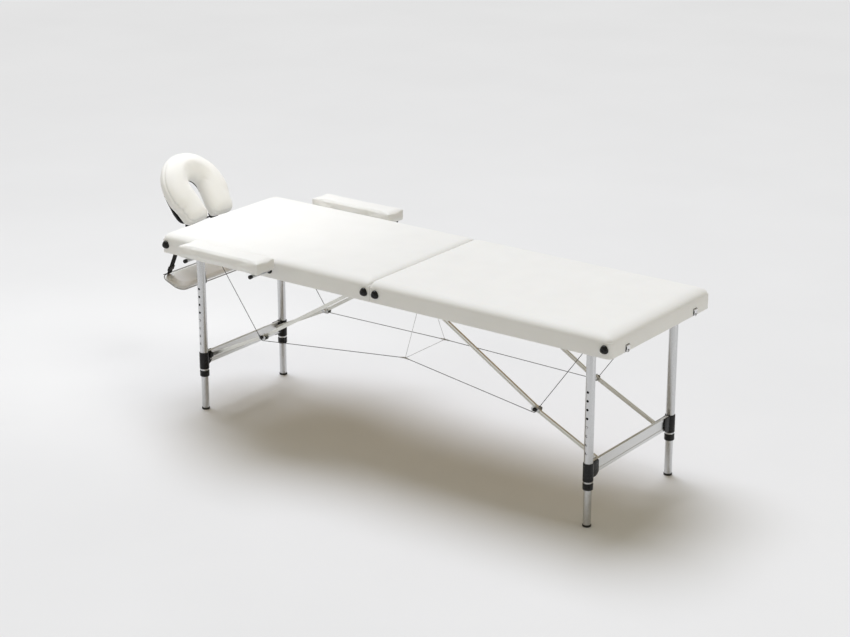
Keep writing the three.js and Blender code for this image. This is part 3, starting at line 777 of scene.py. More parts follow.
def make_covers():
    for end, away in ENDS.items():
        cover = bed_cover(end, away)
        if end == "head":
            cutters = [rod_hole((x, way * HALF_WIDTH, ROD_Z), (0, 1, 0), ROD_RADIUS)
                       for x in ROD_X for way in SIDES.values()]
            cutters += [rod_hole((HINGE_X - PANEL_LENGTH, way * PRONG_Y, PRONG_Z), (1, 0, 0), PRONG_RADIUS)
                        for way in SIDES.values()]
            carve(cover, cutters, 60)
        finish_piece(cover, LEATHER, f"{end}_panel", [f"{end}_cushion"])


# ---- Padded pieces by cloth simulation
def inflate(thing, voxel, pressure, cap, frames=20):
    """Swells a closed mesh as sewn cloth over foam, with no point moved further than cap."""
    remesh = thing.modifiers.new("voxels", "REMESH")
    remesh.mode = "VOXEL"
    remesh.voxel_size = voxel
    apply_modifiers(thing)
    smooth = thing.modifiers.new("ease", "SMOOTH")
    smooth.iterations = 3
    smooth.factor = 0.5
    apply_modifiers(thing)
    rest = [v.co.copy() for v in thing.data.vertices]
    cloth = thing.modifiers.new("cloth", "CLOTH")
    cloth.settings.quality = 5
    cloth.settings.use_pressure = True
    cloth.settings.uniform_pressure_force = pressure
    cloth.settings.effector_weights.gravity = 0
    cloth.settings.tension_stiffness = 15
    cloth.settings.bending_stiffness = 0.6
    cloth.point_cache.frame_start = 1
    cloth.point_cache.frame_end = frames
    scene = bpy.context.scene
    for step in range(1, frames + 1):
        scene.frame_set(step)
    apply_modifiers(thing)
    scene.frame_set(1)
    for vertex, start in zip(thing.data.vertices, rest):
        move = vertex.co - start
        if move.length > cap:
            vertex.co = start + move * (cap / move.length)
    ease = thing.modifiers.new("ease", "SMOOTH")
    ease.iterations = 2
    apply_modifiers(thing)
    divide = thing.modifiers.new("divide", "SUBSURF")
    divide.levels = 1
    apply_modifiers(thing)
    shade(thing.data, 180)
    return thing


def horseshoe(inset, steps=10):
    """Outline of the face cushion as (side, up) points, open where it meets the bed."""
    crown = CRADLE_RADIUS - inset
    crown_up = CRADLE_LENGTH - CRADLE_RADIUS
    heel, toe = CRADLE_HEEL - inset, inset
    low, high = SLOT_LOW + inset - SLOT_TIGHT, SLOT_HIGH + inset - SLOT_TIGHT

    def bezier(a, b, c, d, count):
        points = []
        for k in range(count):
            t = k / count
            weights = ((1 - t) ** 3, 3 * (1 - t) ** 2 * t, 3 * (1 - t) * t * t, t ** 3)
            points.append(tuple(sum(w * p[i] for w, p in zip(weights, (a, b, c, d))) for i in (0, 1)))
        return points

    def around(radius, up, start, end, count):
        return [(radius * math.cos(start + (end - start) * k / count),
                 up + radius * math.sin(start + (end - start) * k / count)) for k in range(count)]

    wide = heel - low
    right = bezier((low, toe + 0.016), (low, toe + 0.003), (low + wide * 0.05, toe),
                   (low + wide * 0.17, toe), 5)
    hip = (heel + 0.002, toe + 0.036)
    right += bezier((heel - wide * 0.29, toe), (heel - wide * 0.09, toe), (heel, toe + 0.012), hip, 6)
    right += bezier(hip, (heel + 0.006, toe + 0.062), (crown, 0.082), (crown, crown_up), 8)
    top = around(crown, crown_up, 0, math.pi, 4 * steps)
    left = [(-s, u) for s, u in reversed(right)]
    slot = around(high, SLOT_ARC, math.pi, 0, 2 * steps)
    return right + top + left + [(-low, toe + 0.016)] + slot + [(high, SLOT_ARC)]


def cradle_point(side, up, out):
    return CRADLE_FRONT + Vector((0, side, 0)) + SLOPE * up + FACING * out


# The cushion before it swells: how far each layer stands from the front plane, and its inset
CUSHION_LAYERS = [(-0.0600, 0.0100), (-0.0550, 0.0045), (-0.0420, 0.0020), (-0.0290, 0.0030),
                  (-0.0180, 0.0085), (-0.0090, 0.0180), (-0.0030, 0.0290), (-0.0005, 0.0400)]
SEAM_OUT = -0.024
GATHER_AT = math.radians(-155)

# Armrests: how far inside its box a pad starts to swell, what counts as its side, and the rods' ends
PAD_START = 0.0028
PAD_SIDE = 0.012
ROD_END = 0.410

# Sling straps: the place across the bed, and the slider's share of the way down
SLING_STRAPS = ((-0.205, 0.70), (-0.100, 0.30), (0.100, 0.30), (0.205, 0.70))


def sew_face_cushion(cushion):
    """Presses the sewn seam and the gathers at its bend into the cushion, and flattens its back."""
    middle = Vector((0, CRADLE_LENGTH - CRADLE_RADIUS))
    back = -CRADLE_THICKNESS + 0.0004
    for vertex in cushion.data.vertices:
        local = vertex.co - CRADLE_FRONT
        side, up, out = local.y, local.dot(SLOPE), local.dot(FACING)
        radial = Vector((side, up)) - middle
        if radial.length > CRADLE_RADIUS * 0.80 or up < 0.03:
            turn = math.atan2(radial.y, radial.x)
            groove = 0.0026 * bell(out, SEAM_OUT, 0.0034)
            pucker = 0.0030 * math.sin(turn * 34) * bell(out, SEAM_OUT, 0.013)
            crease = 0.0022 * bell(out, SEAM_OUT, 0.01)
            inward = (CRADLE_FRONT + SLOPE * middle.y + FACING * out) - vertex.co
            press = groove + (pucker + crease) * bell(turn, GATHER_AT, 0.24)
            vertex.co += inward.normalized() * press
        depth = (vertex.co - CRADLE_FRONT).dot(FACING)
        if depth < back:
            vertex.co += FACING * (back - depth)


def make_face_cushion():
    """Horseshoe cushion, swollen by simulation and then sewn."""
    layers = [[cradle_point(s, u, out) for s, u in horseshoe(inset)] for out, inset in CUSHION_LAYERS]
    count = len(layers[0])
    rings = [[row * count + k for k in range(count)] for row in range(len(layers))]
    faces = [rings[0], rings[-1]]
    for low, high in zip(rings, rings[1:]):
        faces += band(low, high)
    cushion = build("face_cushion_cover", [v for layer in layers for v in layer], faces)
    inflate(cushion, 0.005, 6.0, 0.0100)
    sew_face_cushion(cushion)
    finish_piece(cushion, LEATHER, "cradle", ["face_cushion"])


def box_mesh(name, size, centre, tilt=0.0, corner=0.006):
    """A block with rounded upright corners, centred on a place and tilted about Y."""
    half = size / 2
    outline = rounded_outline(half, corner, 4)
    turned = Matrix.Translation(centre) @ Matrix.Rotation(tilt, 4, "Y")
    return prism(name, *[[turned @ Vector((x, y, z)) for x, y in outline] for z in (-half.z, half.z)])


def make_armrest_pad(side):
    """Pad with a crowned top, swollen by simulation, and a welt seam round its sides."""
    low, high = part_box(f"{side}_armrest_pad")
    size = high - low - Vector((PAD_START * 2, PAD_START * 2, PAD_START * 1.6))
    centre = (low + high) / 2 - Vector((0, 0, PAD_START * 0.4))
    pad = box_mesh(f"{side}_armrest_cover", size, centre, 0, 0.003)
    inflate(pad, 0.004, 3.0, 0.0042)
    for vertex in pad.data.vertices:
        if vertex.co.z < low.z + 0.0002:
            vertex.co.z = low.z + 0.0002
        seam = 0.0011 * bell((vertex.co.z - low.z) / (high.z - low.z), 0.20, 0.05)
        for i in (0, 1):
            if vertex.co[i] < low[i] + PAD_SIDE:
                vertex.co[i] += seam
            elif vertex.co[i] > high[i] - PAD_SIDE:
                vertex.co[i] -= seam
    finish_piece(pad, LEATHER, f"{side}_armrest", [f"{side}_armrest_pad"])


def make_armrests():
    """The pads, and the rods with their caps and sockets."""
    cap = [(0, 0.0003), (0.0063, 0.0003), (0.0063, -0.008), (0.0069, -0.008), (0.0071, -0.0077)]
    cap += [(0.0071, 0.0012)] + arc(0.0051, 0.0012, 0.0020, 0, 90, 4) + [(0, 0.0032)]
    for side, way in SIDES.items():
        make_armrest_pad(side)
        refine_cad(f"{side}_armrest_frame", ZINC)
        for number, x in enumerate(ROD_X):
            end_cap = lathe(f"{side}_rod_cap_{number}", cap, (x, way * ROD_END, ROD_Z), (0, way, 0), 32)
            finish_piece(end_cap, PLASTIC, f"{side}_armrest")
            add_socket(f"{side}_rod_socket_{number}", ROD_RADIUS + 0.0004, 0.0008,
                       (x, way * (HALF_WIDTH + COVER_PROUD), ROD_Z), (0, way, 0))


def sling_point(across, y, rise):
    """A place on the sling's shelf: across it, along the bed's width, and up from its middle plane."""
    turned = Matrix.Rotation(SLING_TILT, 3, "Y") @ Vector((across, 0, rise))
    return SLING_CENTRE + turned + Vector((0, y, 0))


def strap_route(y, outer):
    """From the rail to the shelf: over its far edge for the outer straps, else round its near one."""
    edge = SLING_SIZE.x / 2
    top = SLING_SIZE.z / 2 + 0.0012
    route = [SLING_AXIS + Vector((-0.0015, y, 0.004)), SLING_AXIS + Vector((-0.004, y, -0.012))]
    if outer:
        route += [sling_point(-edge * 0.62, y, top + 0.0012), sling_point(-edge * 0.92, y, 0.0062)]
    else:
        route += [sling_point(edge * 0.84, y, top + 0.0050), sling_point(edge + 0.0022, y, 0.0030)]
        route += [sling_point(edge + 0.0022, y, -0.0040)]
    return soften(resample(route, 0.004), 4)


def make_sling():
    """Padded shelf with piping, hung on webbing straps from the head rail."""
    start = SLING_SIZE - Vector((0.010, 0.010, 0.010))
    shelf = box_mesh("sling_shelf", start, SLING_CENTRE, SLING_TILT, 0.030)
    inflate(shelf, 0.004, 3.0, 0.0058)
    finish_piece(shelf, LEATHER, "arm_sling", ["arm_sling"])
    outline = rounded_outline(SLING_SIZE / 2 - Vector((0.0006, 0.0006, 0)), 0.033, 8)
    route = [sling_point(x, y, 0.0) for x, y in outline]
    welt = sweep("sling_piping", route, circle(0.0021, 10), closed=True, up=Vector((0.37, 0.03, 0.93)))
    finish_piece(welt, PIPING, "arm_sling")
    for number, (y, slider_share) in enumerate(SLING_STRAPS):
        points = strap_route(y, abs(y) > 0.15)
        strap = sweep(f"sling_strap_{number}", points, ribbon(STRAP_WIDTH, 0.0017), up=Vector((0, 1, 0)))
        finish_piece(strap, WEBBING, "arm_sling")
        along = int(len(points) * slider_share)
        lean = (points[along + 1] - points[along - 1]).normalized()
        half = Vector((0.0024, 0.0155, 0.009))
        buckle = rounded_block(f"sling_slider_{number}", -half, half, 0.0012)
        buckle.data.transform(facing_matrix(points[along], lean))
        finish_piece(buckle, PLASTIC, "arm_sling")


# ---- Legs
HOLE_COUNT, HOLE_TOP, HOLE_PITCH, HOLE_RADIUS = 8, 0.4624, 0.0296, 0.0044
TUBE_RADIUS = 0.015
CLAMP_BORE, CLAMP_RADIUS = 0.0153, 0.0174
COLLAR_BORE, COLLAR_RADIUS = 0.0134, 0.0172
WING_RISE = 0.002  # how far the fork starts above the crossbar's lower edge
CHEEK_FACE = 0.0095  # a cheek's outer face, from the crossbar's middle
STRUT_PIN_DROP, STRUT_PIN_IN, STRUT_PIN_RADIUS = 0.426, 0.0115, 0.003
LUG_END = 0.1865


def leg_axis(end, side):
    low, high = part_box(f"{end}_{side}_outer_tube")
    return Vector(((low.x + high.x) / 2, (low.y + high.y) / 2, 0)), low.z, high.z


def make_outer_tube(end, side, way):
    axis, low, high = leg_axis(end, side)
    leg = tube(f"{end}_{side}_leg_tube", axis + Vector((0, 0, low)), (0, 0, 1), TUBE_RADIUS, LEG_BORE,
               high - low, segments=64)
    cutters = [pin("cut_hole", axis + Vector((0, way * 0.005, HOLE_TOP - k * HOLE_PITCH)), (0, way, 0),
                   HOLE_RADIUS, 0.015, 0.0002, 24) for k in range(HOLE_COUNT)]
    cutters.append(pin("cut_pivot", axis + Vector((0, -0.02, PIVOT_Z)), (0, 1, 0), 0.0043, 0.04, 0.0002, 24))
    carve(leg, cutters, 30)
    finish_piece(leg, TUBE, f"{end}_leg_frame", [f"{end}_{side}_outer_tube"])
    # The bore and the holes' walls get the near-black finish, painted shade so that the holes read dark
    leg.data.materials.append(PAINTED_SHADE_BORE)
    for polygon in leg.data.polygons:
        reach = math.hypot(polygon.center.x - axis.x, polygon.center.y - axis.y)
        polygon.material_index = 1 if reach < 0.0147 and low + 0.001 < polygon.center.z < high - 0.001 else 0


def make_inner_tube(end, side, way):
    low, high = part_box(f"{end}_{side}_inner_tube")
    axis = leg_axis(end, side)[0]
    body = f"{end}_{side}_inner_leg"
    inner = tube(f"{end}_{side}_leg_extension", axis + Vector((0, 0, low.z)), (0, 0, 1), 0.0131, 0.0116,
                 high.z - low.z, segments=56)
    finish_piece(inner, TUBE, body, [f"{end}_{side}_inner_tube"])
    foot_low, foot_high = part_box(f"{end}_{side}_leg_foot")
    height = foot_high.z - foot_low.z
    shell = [(0, 0), (0.0122, 0)] + arc(0.0128, 0.0016, 0.0016, -80, 0, 4)
    shell += [(0.0146, 0.0030), (0.0142, 0.0034), (0.0142, 0.0042), (0.0146, 0.0046)]
    shell += arc(0.0139, height - 0.0007, 0.0007, 0, 90, 3)
    shell += [(0.0133, height), (0.0133, 0.0042), (0, 0.0042)]
    foot = lathe(f"{end}_{side}_foot_cap", shell, axis, (0, 0, 1), 48)
    finish_piece(foot, RUBBER, body, [f"{end}_{side}_leg_foot"])
    button = pin(f"{end}_{side}_height_button", axis + Vector((0, way * 0.0128, HOLE_TOP - 4 * HOLE_PITCH)),
                 (0, way, 0), 0.0030, 0.0034, 0.0009, 24)
    finish_piece(button, CHROME, body)


def clamp_cheek(end, away, side, way, face):
    """A cheek of the fork round the crossbar. The outer one is longer and has a skirt."""
    axis = leg_axis(end, side)[0]
    low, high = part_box(f"{end}_{side}_clamp")
    bar_low, bar_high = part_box(f"{end}_crossbar")
    wing = bar_low.z + WING_RISE

    def out(distance):
        return axis.y - way * (CLAMP_RADIUS + distance)

    start = axis.y - way * (CLAMP_BORE + 0.0007)
    if face == away:
        stop = out(0.032)
        skirt = max(low.z + 0.002, bar_low.z - 0.008)
        outline = [(start, skirt), (out(0.014), skirt), (out(0.024), skirt + 0.004), (stop, skirt + 0.012)]
    else:
        stop = out(0.014)
        outline = [(start, wing - 0.004), (out(0.006), wing), (stop, wing + 0.010)]
    outline += [(stop, high.z - 0.004), (stop + way * 0.004, high.z), (start, high.z)]
    middle = (bar_low.x + bar_high.x) / 2
    half_bar = (bar_high.x - bar_low.x) / 2 + 0.0003
    levels = [middle + face * half_bar, middle + face * CHEEK_FACE]
    return bevelled(prism("cheek", *[[Vector((x, y, z)) for y, z in outline] for x in levels]), 0.0009, 3)


def clamp_sleeve(axis, low, height):
    """Sleeve round the leg, with rolled rims and a groove."""
    profile = [(CLAMP_BORE, 0)] + arc(CLAMP_RADIUS - 0.0012, 0.0012, 0.0012, -90, 0, 4)
    profile += [(CLAMP_RADIUS, 0.0070), (CLAMP_RADIUS - 0.0005, 0.0074), (CLAMP_RADIUS - 0.0005, 0.0086),
                (CLAMP_RADIUS, 0.0090)]
    profile += arc(CLAMP_RADIUS - 0.0012, height - 0.0012, 0.0012, 0, 90, 4) + [(CLAMP_BORE, height)]
    return lathe("sleeve", profile, axis + Vector((0, 0, low)), (0, 0, 1), 64, closed=True)


def make_clamp(end, away, side, way):
    """The sleeve, the crossbar's fork and the strut's lug in one moulding, with its bolt and rivets."""
    axis = leg_axis(end, side)[0]
    low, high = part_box(f"{end}_{side}_clamp")
    bar_low, bar_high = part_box(f"{end}_crossbar")
    sleeve = clamp_sleeve(axis, low.z, high.z - low.z)
    cheeks = [clamp_cheek(end, away, side, way, face) for face in (-1, 1)]
    pin_z = PIVOT_Z - STRUT_PIN_DROP
    lug_end = way * LUG_END
    lug = rounded_block("lug", (axis.x - away * 0.0056, axis.y - way * 0.0152, pin_z - 0.008),
                        (axis.x - away * 0.0172, lug_end, pin_z + 0.008), 0.0016)
    clamp = join(f"{end}_{side}_leg_clamp", [sleeve, *cheeks, lug])
    finish_piece(clamp, PLASTIC, f"{end}_leg_frame", [f"{end}_{side}_clamp"])
    pin_x = axis.x - away * STRUT_PIN_IN
    bolt = pin(f"{end}_{side}_strut_bolt", (pin_x, lug_end + way * 0.0002, pin_z), (0, -way, 0),
               STRUT_PIN_RADIUS, 0.0098)
    head = lathe("head", dome(0.0056, 0.0030), (pin_x, lug_end, pin_z), (0, way, 0), 28)
    finish_piece(join(bolt.name, [bolt, head]), CHROME, f"{end}_leg_frame")
    wing = bar_low.z + WING_RISE
    for number, level in enumerate((0.30, 0.72)):
        spot = ((bar_low.x + bar_high.x) / 2 - away * CHEEK_FACE, axis.y - way * (CLAMP_RADIUS + 0.0075),
                wing + (high.z - wing) * level)
        add_stud(f"{end}_{side}_rivet_{number}", (0.0026, 0.0012), spot, (-away, 0, 0), f"{end}_leg_frame")


def make_collar(end, side):
    """Locking collar at the outer tube's end, with four grip grooves."""
    low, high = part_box(f"{end}_{side}_collar")
    height = high.z - low.z
    profile = [(COLLAR_BORE, 0)] + arc(COLLAR_RADIUS - 0.0026, 0.0026, 0.0026, -90, 0, 6)
    for k in range(4):
        level = 0.0075 + k * 0.0026
        profile += [(COLLAR_RADIUS, level), (COLLAR_RADIUS - 0.0004, level + 0.0006),
                    (COLLAR_RADIUS - 0.0004, level + 0.0012), (COLLAR_RADIUS, level + 0.0018)]
    profile += arc(COLLAR_RADIUS - 0.0008, height - 0.0008, 0.0008, 0, 90, 3)
    profile += [(CLAMP_BORE, height), (CLAMP_BORE, 0.003), (COLLAR_BORE, 0.003)]
    place = leg_axis(end, side)[0] + Vector((0, 0, low.z))
    ring = lathe(f"{end}_{side}_lock_collar", profile, place, (0, 0, 1), 64, closed=True)
    finish_piece(ring, PLASTIC, f"{end}_leg_frame", [f"{end}_{side}_collar"])


def make_legs():
    for end, away in ENDS.items():
        refine_cad(f"{end}_crossbar", BAR, 0.0009)
        for side, way in SIDES.items():
            refine_cad(f"{end}_{side}_leg_bracket", ZINC, 0.0004)
            make_outer_tube(end, side, way)
            make_inner_tube(end, side, way)
            make_clamp(end, away, side, way)
            make_collar(end, side)


# ---- Struts, knees and cables
CLIP_Y, CLIP_Z = 0.115, 0.348
KNEE_X = 0.57968  # from the middle hinge
KNEE_OUTER, KNEE_INNER = 0.1868, 0.1668
KNEE_PLATE = [(-0.013, -0.0088), (0.014, -0.0088), (0.017, 0.003), (0.010, 0.0074), (-0.010, 0.0074),
              (-0.016, 0.002)]
CABLE_Y, CABLE_RADIUS, CABLE_LAY = 0.1885, 0.00142, 0.016
CABLE_TOP = (0.806, 0.620)
LIFTER_TOP, LIFTER_RADIUS, LIFTER_LAY = 0.597, 0.00085, 0.010


def knee_place(end, side, away):
    """The knee's axis, at the meeting ends of the two struts."""
    strut_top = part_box(f"{end}_{side}_lower_strut")[1].z
    return Vector((HINGE_X + away * KNEE_X, 0, strut_top - 0.006))


def make_knee(end, side, away, way):
    """Pressed bracket outside the two struts, its bolt, its black cap and its nut."""
    knee = knee_place(end, side, away)
    body = f"{end}_lower_struts"
    plates = []
    for level in (KNEE_OUTER - 0.0012, KNEE_INNER):
        rings = [[Vector((knee.x + away * a, way * (level + t), knee.z + b)) for a, b in KNEE_PLATE]
                 for t in (0, 0.0012)]
        plates.append(bevelled(prism("plate", *rings), 0.0005, 2))
    strap = rounded_block("strap", (knee.x - 0.012, way * KNEE_INNER, knee.z - 0.0094),
                          (knee.x + 0.012, way * KNEE_OUTER, knee.z - 0.0082), 0.0004)
    finish_piece(join(f"{end}_{side}_knee_bracket", [*plates, strap]), ZINC, body)
    bolt = pin(f"{end}_{side}_knee_bolt", (knee.x, way * 0.1650, knee.z), (0, way, 0),
               STRUT_PIN_RADIUS, 0.0262)
    finish_piece(bolt, CHROME, body)
    profile = [(0, 0), (0.0062, 0), (0.0066, 0.0006), (0.0066, 0.0042)]
    profile += arc(0.0042, 0.0042, 0.0024, 0, 90, 4) + [(0, 0.0066)]
    cap_place = (knee.x, way * (KNEE_OUTER + 0.0002), knee.z)
    cap = lathe(f"{end}_{side}_knee_cap", profile, cap_place, (0, way, 0), 32)
    finish_piece(cap, PLASTIC, body)
    add_stud(f"{end}_{side}_knee_nut", (0.0056, 0.0032, 0), (knee.x, way * KNEE_INNER, knee.z), (0, -way, 0),
             body, 28)


def strand(radius, lobes=3, depth=0.16, sides=12):
    """The section of a laid wire rope: a round with the strands standing out."""
    section = []
    for k in range(sides):
        turn = 2 * math.pi * k / sides
        reach = radius * (1 - depth / 2 + depth / 2 * math.cos(lobes * turn))
        section.append((reach * math.cos(turn), reach * math.sin(turn)))
    return section


def make_brace_cable(end, side, away, way):
    """Wire rope from the leg's top round the knee to the clip under the middle, with its two crimps."""
    knee = knee_place(end, side, away)
    top = Vector((HINGE_X + away * CABLE_TOP[0], way * CABLE_Y, CABLE_TOP[1]))
    bend = Vector((knee.x, way * CABLE_Y, knee.z - 0.012))
    clip = Vector((HINGE_X + away * 0.0030, way * CLIP_Y, CLIP_Z))
    route = soften(resample([top, bend, clip], 0.0035), 3)
    cable = sweep(f"{end}_{side}_brace_cable", route, strand(CABLE_RADIUS), up=Vector((0.02, 1, 0.01)),
                  twist=2 * math.pi / CABLE_LAY)
    finish_piece(cable, WIRE, f"{end}_panel", [f"{end}_{side}_cable"])
    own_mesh(cable)
    for number, at in enumerate((top, clip)):
        along = (bend - at).normalized()
        crimp = pin(f"{end}_{side}_crimp_{number}", at + along * 0.004, along, 0.0024, 0.010, 0.0005, 20)
        finish_piece(crimp, ZINC, f"{end}_panel")
        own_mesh(crimp)


def make_lifter():
    """Thin cord that ties the two clips to the middle hinge and to each other, and the clips."""
    clips = [Vector((HINGE_X, way * CLIP_Y, CLIP_Z)) for way in SIDES.values()]
    hook = Vector((HINGE_X, 0, LIFTER_TOP))
    aside = Vector((0.0013, 0, 0))
    runs = []
    for number, (a, b) in enumerate(((clips[0], hook), (hook, clips[1]), (clips[0], clips[1]))):
        runs.append(sweep(f"run_{number}", resample([a + aside, b + aside], 0.004),
                          strand(LIFTER_RADIUS, 4, 0.12), up=Vector((1, 0.01, 0.02)),
                          twist=2 * math.pi / LIFTER_LAY))
    lifter = join("lifter_cord_run", runs)
    finish_piece(lifter, CORD, "head_panel", ["lifter_cord"])
    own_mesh(lifter)
    profile = [(0, -0.0052)] + arc(0.0019, -0.0042, 0.0010, -90, 0, 3)
    profile += arc(0.0019, 0.0042, 0.0010, 0, 90, 3) + [(0, 0.0052)]
    for number, clip in enumerate(clips):
        sleeve = lathe(f"cable_clip_{number}", profile, clip, (1, 0, 0), 24)
        finish_piece(sleeve, ZINC, "head_panel")
        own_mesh(sleeve)


def make_cables():
    for end, away in ENDS.items():
        for side, way in SIDES.items():
            make_brace_cable(end, side, away, way)
    make_lifter()


def make_struts():
    for end, away in ENDS.items():
        for side, way in SIDES.items():
            refine_cad(f"{end}_{side}_upper_strut", STRUT, 0.0007)
            refine_cad(f"{end}_{side}_lower_strut", STRUT, 0.0007)
            make_knee(end, side, away, way)


# ---- Bed fittings
# The bumper's rings, as shares of its radius and distances out from the side
BUMPER_RINGS = [(0.98, 0.0), (1.03, 0.0012), (1.04, 0.0030), (1.00, 0.0055), (0.91, 0.0080), (0.77, 0.0101),
                (0.58, 0.0116), (0.38, 0.0124), (0.22, 0.0126), (0.18, 0.0112), (0.0, 0.0110)]
BUMPER_SIDES, BUMPER_RADIUS = 48, 0.0138
BUMPER_Z = PANEL_BOTTOM + 0.0290
BUMPER_X = {"outer": 0.909, "inner": 0.0235}
LATCH_HALF, LOOP_RADIUS = 0.0115, 0.0066
HANDLE_X, HANDLE_HALF, HANDLE_STAND = 0.130, 0.065, 0.0235


def make_bumper(name, x, body):
    """Domed rounded-triangle foot that the closed case stands on, with its screw's hollow."""
    verts, rows = [], []
    for share, out in BUMPER_RINGS:
        count = BUMPER_SIDES if share else 1
        rows.append(range(len(verts), len(verts) + count))
        for k in range(count):
            turn = 2 * math.pi * k / BUMPER_SIDES
            shape = 1 + 0.06 * math.cos(3 * (turn - math.pi / 2)) if share > 0.3 else 1.0
            reach = BUMPER_RADIUS * share * shape
            verts.append(Vector((x + reach * math.cos(turn), -HALF_WIDTH - COVER_PROUD - out + 0.0004,
                                 BUMPER_Z + reach * math.sin(turn))))
    faces = [list(rows[0])]
    for low, high in zip(rows, rows[1:]):
        for k in range(BUMPER_SIDES):
            j = (k + 1) % BUMPER_SIDES
            ring = [low[k], low[j], high[j % len(high)], high[k % len(high)]]
            faces.append(list(dict.fromkeys(ring)))
    finish_piece(build(name, verts, faces, 50), PLASTIC, body)


def latch_lever(pivot):
    """The toggle's barrel, wire loop and plate, in one."""
    barrel = pin("barrel", pivot - Vector((0, 0.0098, 0)), (0, 1, 0), 0.0026, 0.0196, 0.0004, 24)
    ends = [pivot + Vector((0.0010, way * LOOP_RADIUS, -0.0010)) for way in (1, -1)]
    loop = []
    for k in range(25):
        turn = math.pi * k / 24
        loop.append(pivot + Vector((0.0010, LOOP_RADIUS * math.cos(turn),
                                    -0.0145 - LOOP_RADIUS * math.sin(turn))))
    wire = sweep("loop", [ends[0], *loop, ends[1]], circle(0.0016), up=Vector((1, 0, 0)))
    plate = rounded_block("lever", pivot + Vector((-0.0008, -0.0060, -0.0125)),
                          pivot + Vector((0.0020, 0.0060, -0.0015)), 0.0009)
    return [barrel, wire, plate]


def make_latch(side):
    """Toggle: base plate and screws on the rail, and the chrome lever on its pin."""
    low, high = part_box(f"{side}_case_latch")
    y = (low.y + high.y) / 2
    face = HINGE_X + PANEL_LENGTH + COVER_PROUD
    base = rounded_block(f"{side}_latch_base", (face - 0.0002, y - LATCH_HALF, low.z + 0.0045),
                         (face + 0.0009, y + LATCH_HALF, high.z + 0.0010), 0.0004)
    # The base plate's dark colour is painted shade of the gap behind the lever
    finish_piece(base, PAINTED_GAP_SHADE_STEEL, "foot_panel")
    for number, shift in enumerate((-0.0070, 0.0070)):
        add_stud(f"{side}_latch_screw_{number}", (0.0022, 0.0012, 0),
                 (face + 0.0008, y + shift, low.z + 0.0085), (1, 0, 0), "foot_panel")
    pivot = Vector((face + 0.0027, y, high.z - 0.0028))
    lever = join(f"{side}_latch_lever", latch_lever(pivot))
    finish_piece(lever, CHROME, f"{side}_latch", [f"{side}_case_latch"])


def make_handle(end, away):
    """Webbing carry handle with riveted end tabs."""
    middle = HINGE_X + away * HANDLE_X
    z = PANEL_BOTTOM + 0.025
    face = HALF_WIDTH + COVER_PROUD + 0.0010
    route = []
    for k in range(41):
        t = -1 + 2 * k / 40
        route.append(Vector((middle + HANDLE_HALF * t, face + HANDLE_STAND * (1 - abs(t) ** 3.2), z)))
    strap = sweep(f"{end}_handle_strap", route, ribbon(0.025, 0.0026), up=Vector((0, 0, 1)))
    finish_piece(strap, WEBBING, f"{end}_panel", [f"{end}_carry_handle"])
    for number, way in enumerate((-1, 1)):
        x = middle + way * (HANDLE_HALF - 0.002)
        tab = rounded_block(f"{end}_handle_tab_{number}", (x - 0.010, face - 0.0012, z - 0.0135),
                            (x + 0.010, face + 0.0016, z + 0.0135), 0.0008)
        finish_piece(tab, PLASTIC, f"{end}_panel")
        for spot, rise in enumerate((-0.008, 0.008)):
            add_stud(f"{end}_handle_rivet_{number}_{spot}", (0.0026, 0.0014, 0),
                     (x, face + 0.0015, z + rise), (0, 1, 0), f"{end}_panel")


def make_fittings():
    for end, away in ENDS.items():
        refine_cad(f"{end}_panel_frame", RAIL_WOOD, 0)
        refine_cad(f"{end}_panel_board", BOARD_WOOD, 0)
        refine_cad(f"middle_hinge_{end}_leaf", ZINC, 0.0003)
        make_handle(end, away)
        for place, x in BUMPER_X.items():
            make_bumper(f"{end}_{place}_bumper", HINGE_X + away * x, f"{end}_panel")
        for number in range(10):
            add_stud(f"{end}_hinge_screw_{number}", (0.0030, 0.0010, 0),
                     (HINGE_X + away * 0.018, -0.252 + 0.056 * number, PANEL_BOTTOM - 0.0019), (0, 0, -1),
                     f"{end}_panel", 18)
    for side in SIDES:
        make_latch(side)
    refine_cad("cradle_plate", DULL_PLASTIC, 0.0009)
    refine_cad("cradle_prongs", PLASTIC, 0.0008)
    for number, way in enumerate(SIDES.values()):
        add_socket(f"prong_socket_{number}", PRONG_RADIUS + 0.0004, 0.0006,
                   (HINGE_X - PANEL_LENGTH - COVER_PROUD, way * PRONG_Y, PRONG_Z), (-1, 0, 0))


# ---- Studio
def make_stage():
    """A pale floor that runs far past the camera's view on every side."""
    reach = 60.0
    verts = [(x * reach, y * reach, 0) for x, y in ((-1, -1), (1, -1), (1, 1), (-1, 1))]
    mesh = bpy.data.meshes.new("studio_floor")
    mesh.from_pydata(verts, [], [[0, 1, 2, 3]])
    mesh.materials.append(studio_floor())
    new_object("studio_floor", mesh)


def turn_towards(thing, direction):
    """Points a light or camera along a direction."""
    thing.rotation_mode = "QUATERNION"
    thing.rotation_quaternion = direction.to_track_quat("-Z", "Y")


def area_light(name, place, target, size, power, colour, spread=180):
    light = bpy.data.lights.new(name, "AREA")
    light.shape = "RECTANGLE"
    light.size, light.size_y = size
    light.energy = power
    light.color = colour
    light.spread = math.radians(spread)
    lamp = new_object(name, light)
    lamp.location = place
    turn_towards(lamp, Vector(target) - Vector(place))


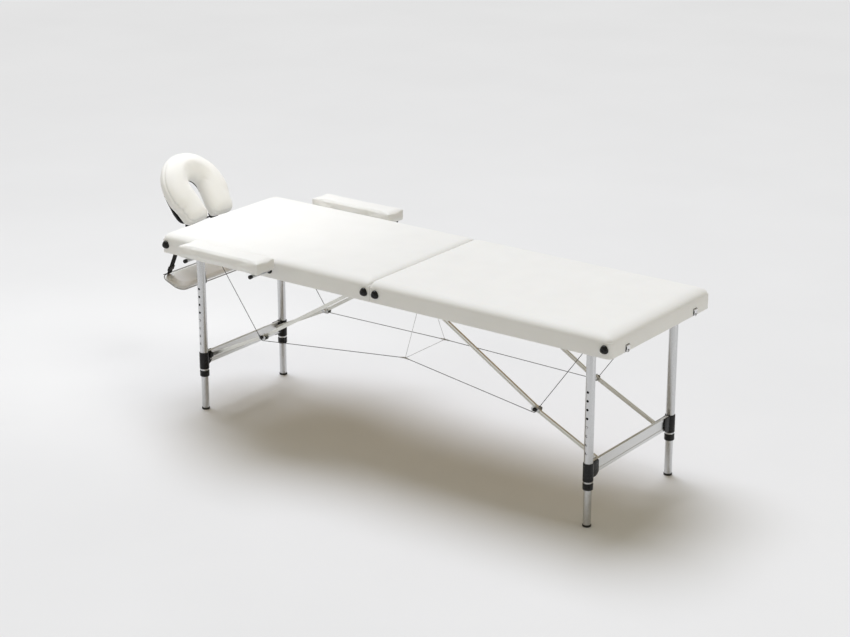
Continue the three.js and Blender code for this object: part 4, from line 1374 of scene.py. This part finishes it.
KEY_DIRECTION = Vector((-0.33, 0.23, 0.87)).normalized()
DAYLIGHT = (0.864, 0.900, 1.0)
NEUTRAL = (1.0, 0.99, 0.97)
WORLD_COLOUR = (1.0, 0.93, 0.74, 1)
CAMERA_PLACE = (4.198, -5.547, 2.874)
CAMERA_YAW, CAMERA_PITCH = math.radians(-36.36), math.radians(19.33)


def make_lights():
    """A broad key from behind and to the left, warm fill all round, and strips for the metal."""
    sun = bpy.data.lights.new("soft_sky", "SUN")
    sun.energy = 2.40
    sun.angle = math.radians(38)
    sun.color = DAYLIGHT
    turn_towards(new_object("soft_sky", sun), -KEY_DIRECTION)
    area_light("key", KEY_DIRECTION * 5.2 + Vector((0.1, 0, 0)), (0.1, 0, 0), (3.2, 2.4), 18, DAYLIGHT)
    area_light("left_strip", (-3.4, -3.4, 1.3), (0, 0, 0.5), (0.5, 2.4), 9, NEUTRAL)
    area_light("right_strip", (4.4, 0.2, 1.3), (0.4, 0, 0.5), (0.5, 2.4), 10, NEUTRAL)
    area_light("cradle_fill", (-0.10, -0.10, 2.15), (-1.0, 0, 0.80), (0.7, 0.7), 1.3, NEUTRAL, 60)
    world = bpy.data.worlds.new("studio")
    world.use_nodes = True
    background = world.node_tree.nodes["Background"]
    background.inputs["Color"].default_value = WORLD_COLOUR
    background.inputs["Strength"].default_value = 0.36
    bpy.context.scene.world = world


def make_camera():
    camera = bpy.data.cameras.new("camera")
    camera.lens = 90.0
    camera.sensor_width = 36.0
    camera.clip_end = 100.0
    thing = new_object("camera", camera)
    thing.location = CAMERA_PLACE
    yaw, pitch = CAMERA_YAW, CAMERA_PITCH
    turn_towards(thing, Vector((math.sin(yaw) * math.cos(pitch), math.cos(yaw) * math.cos(pitch),
                                -math.sin(pitch))))
    bpy.context.scene.camera = thing


bpy.context.scene.view_settings.view_transform = "Standard"
make_camera()
make_covers()
make_face_cushion()
make_armrests()
make_sling()
make_legs()
make_struts()
make_cables()
make_fittings()
make_stage()
make_lights()
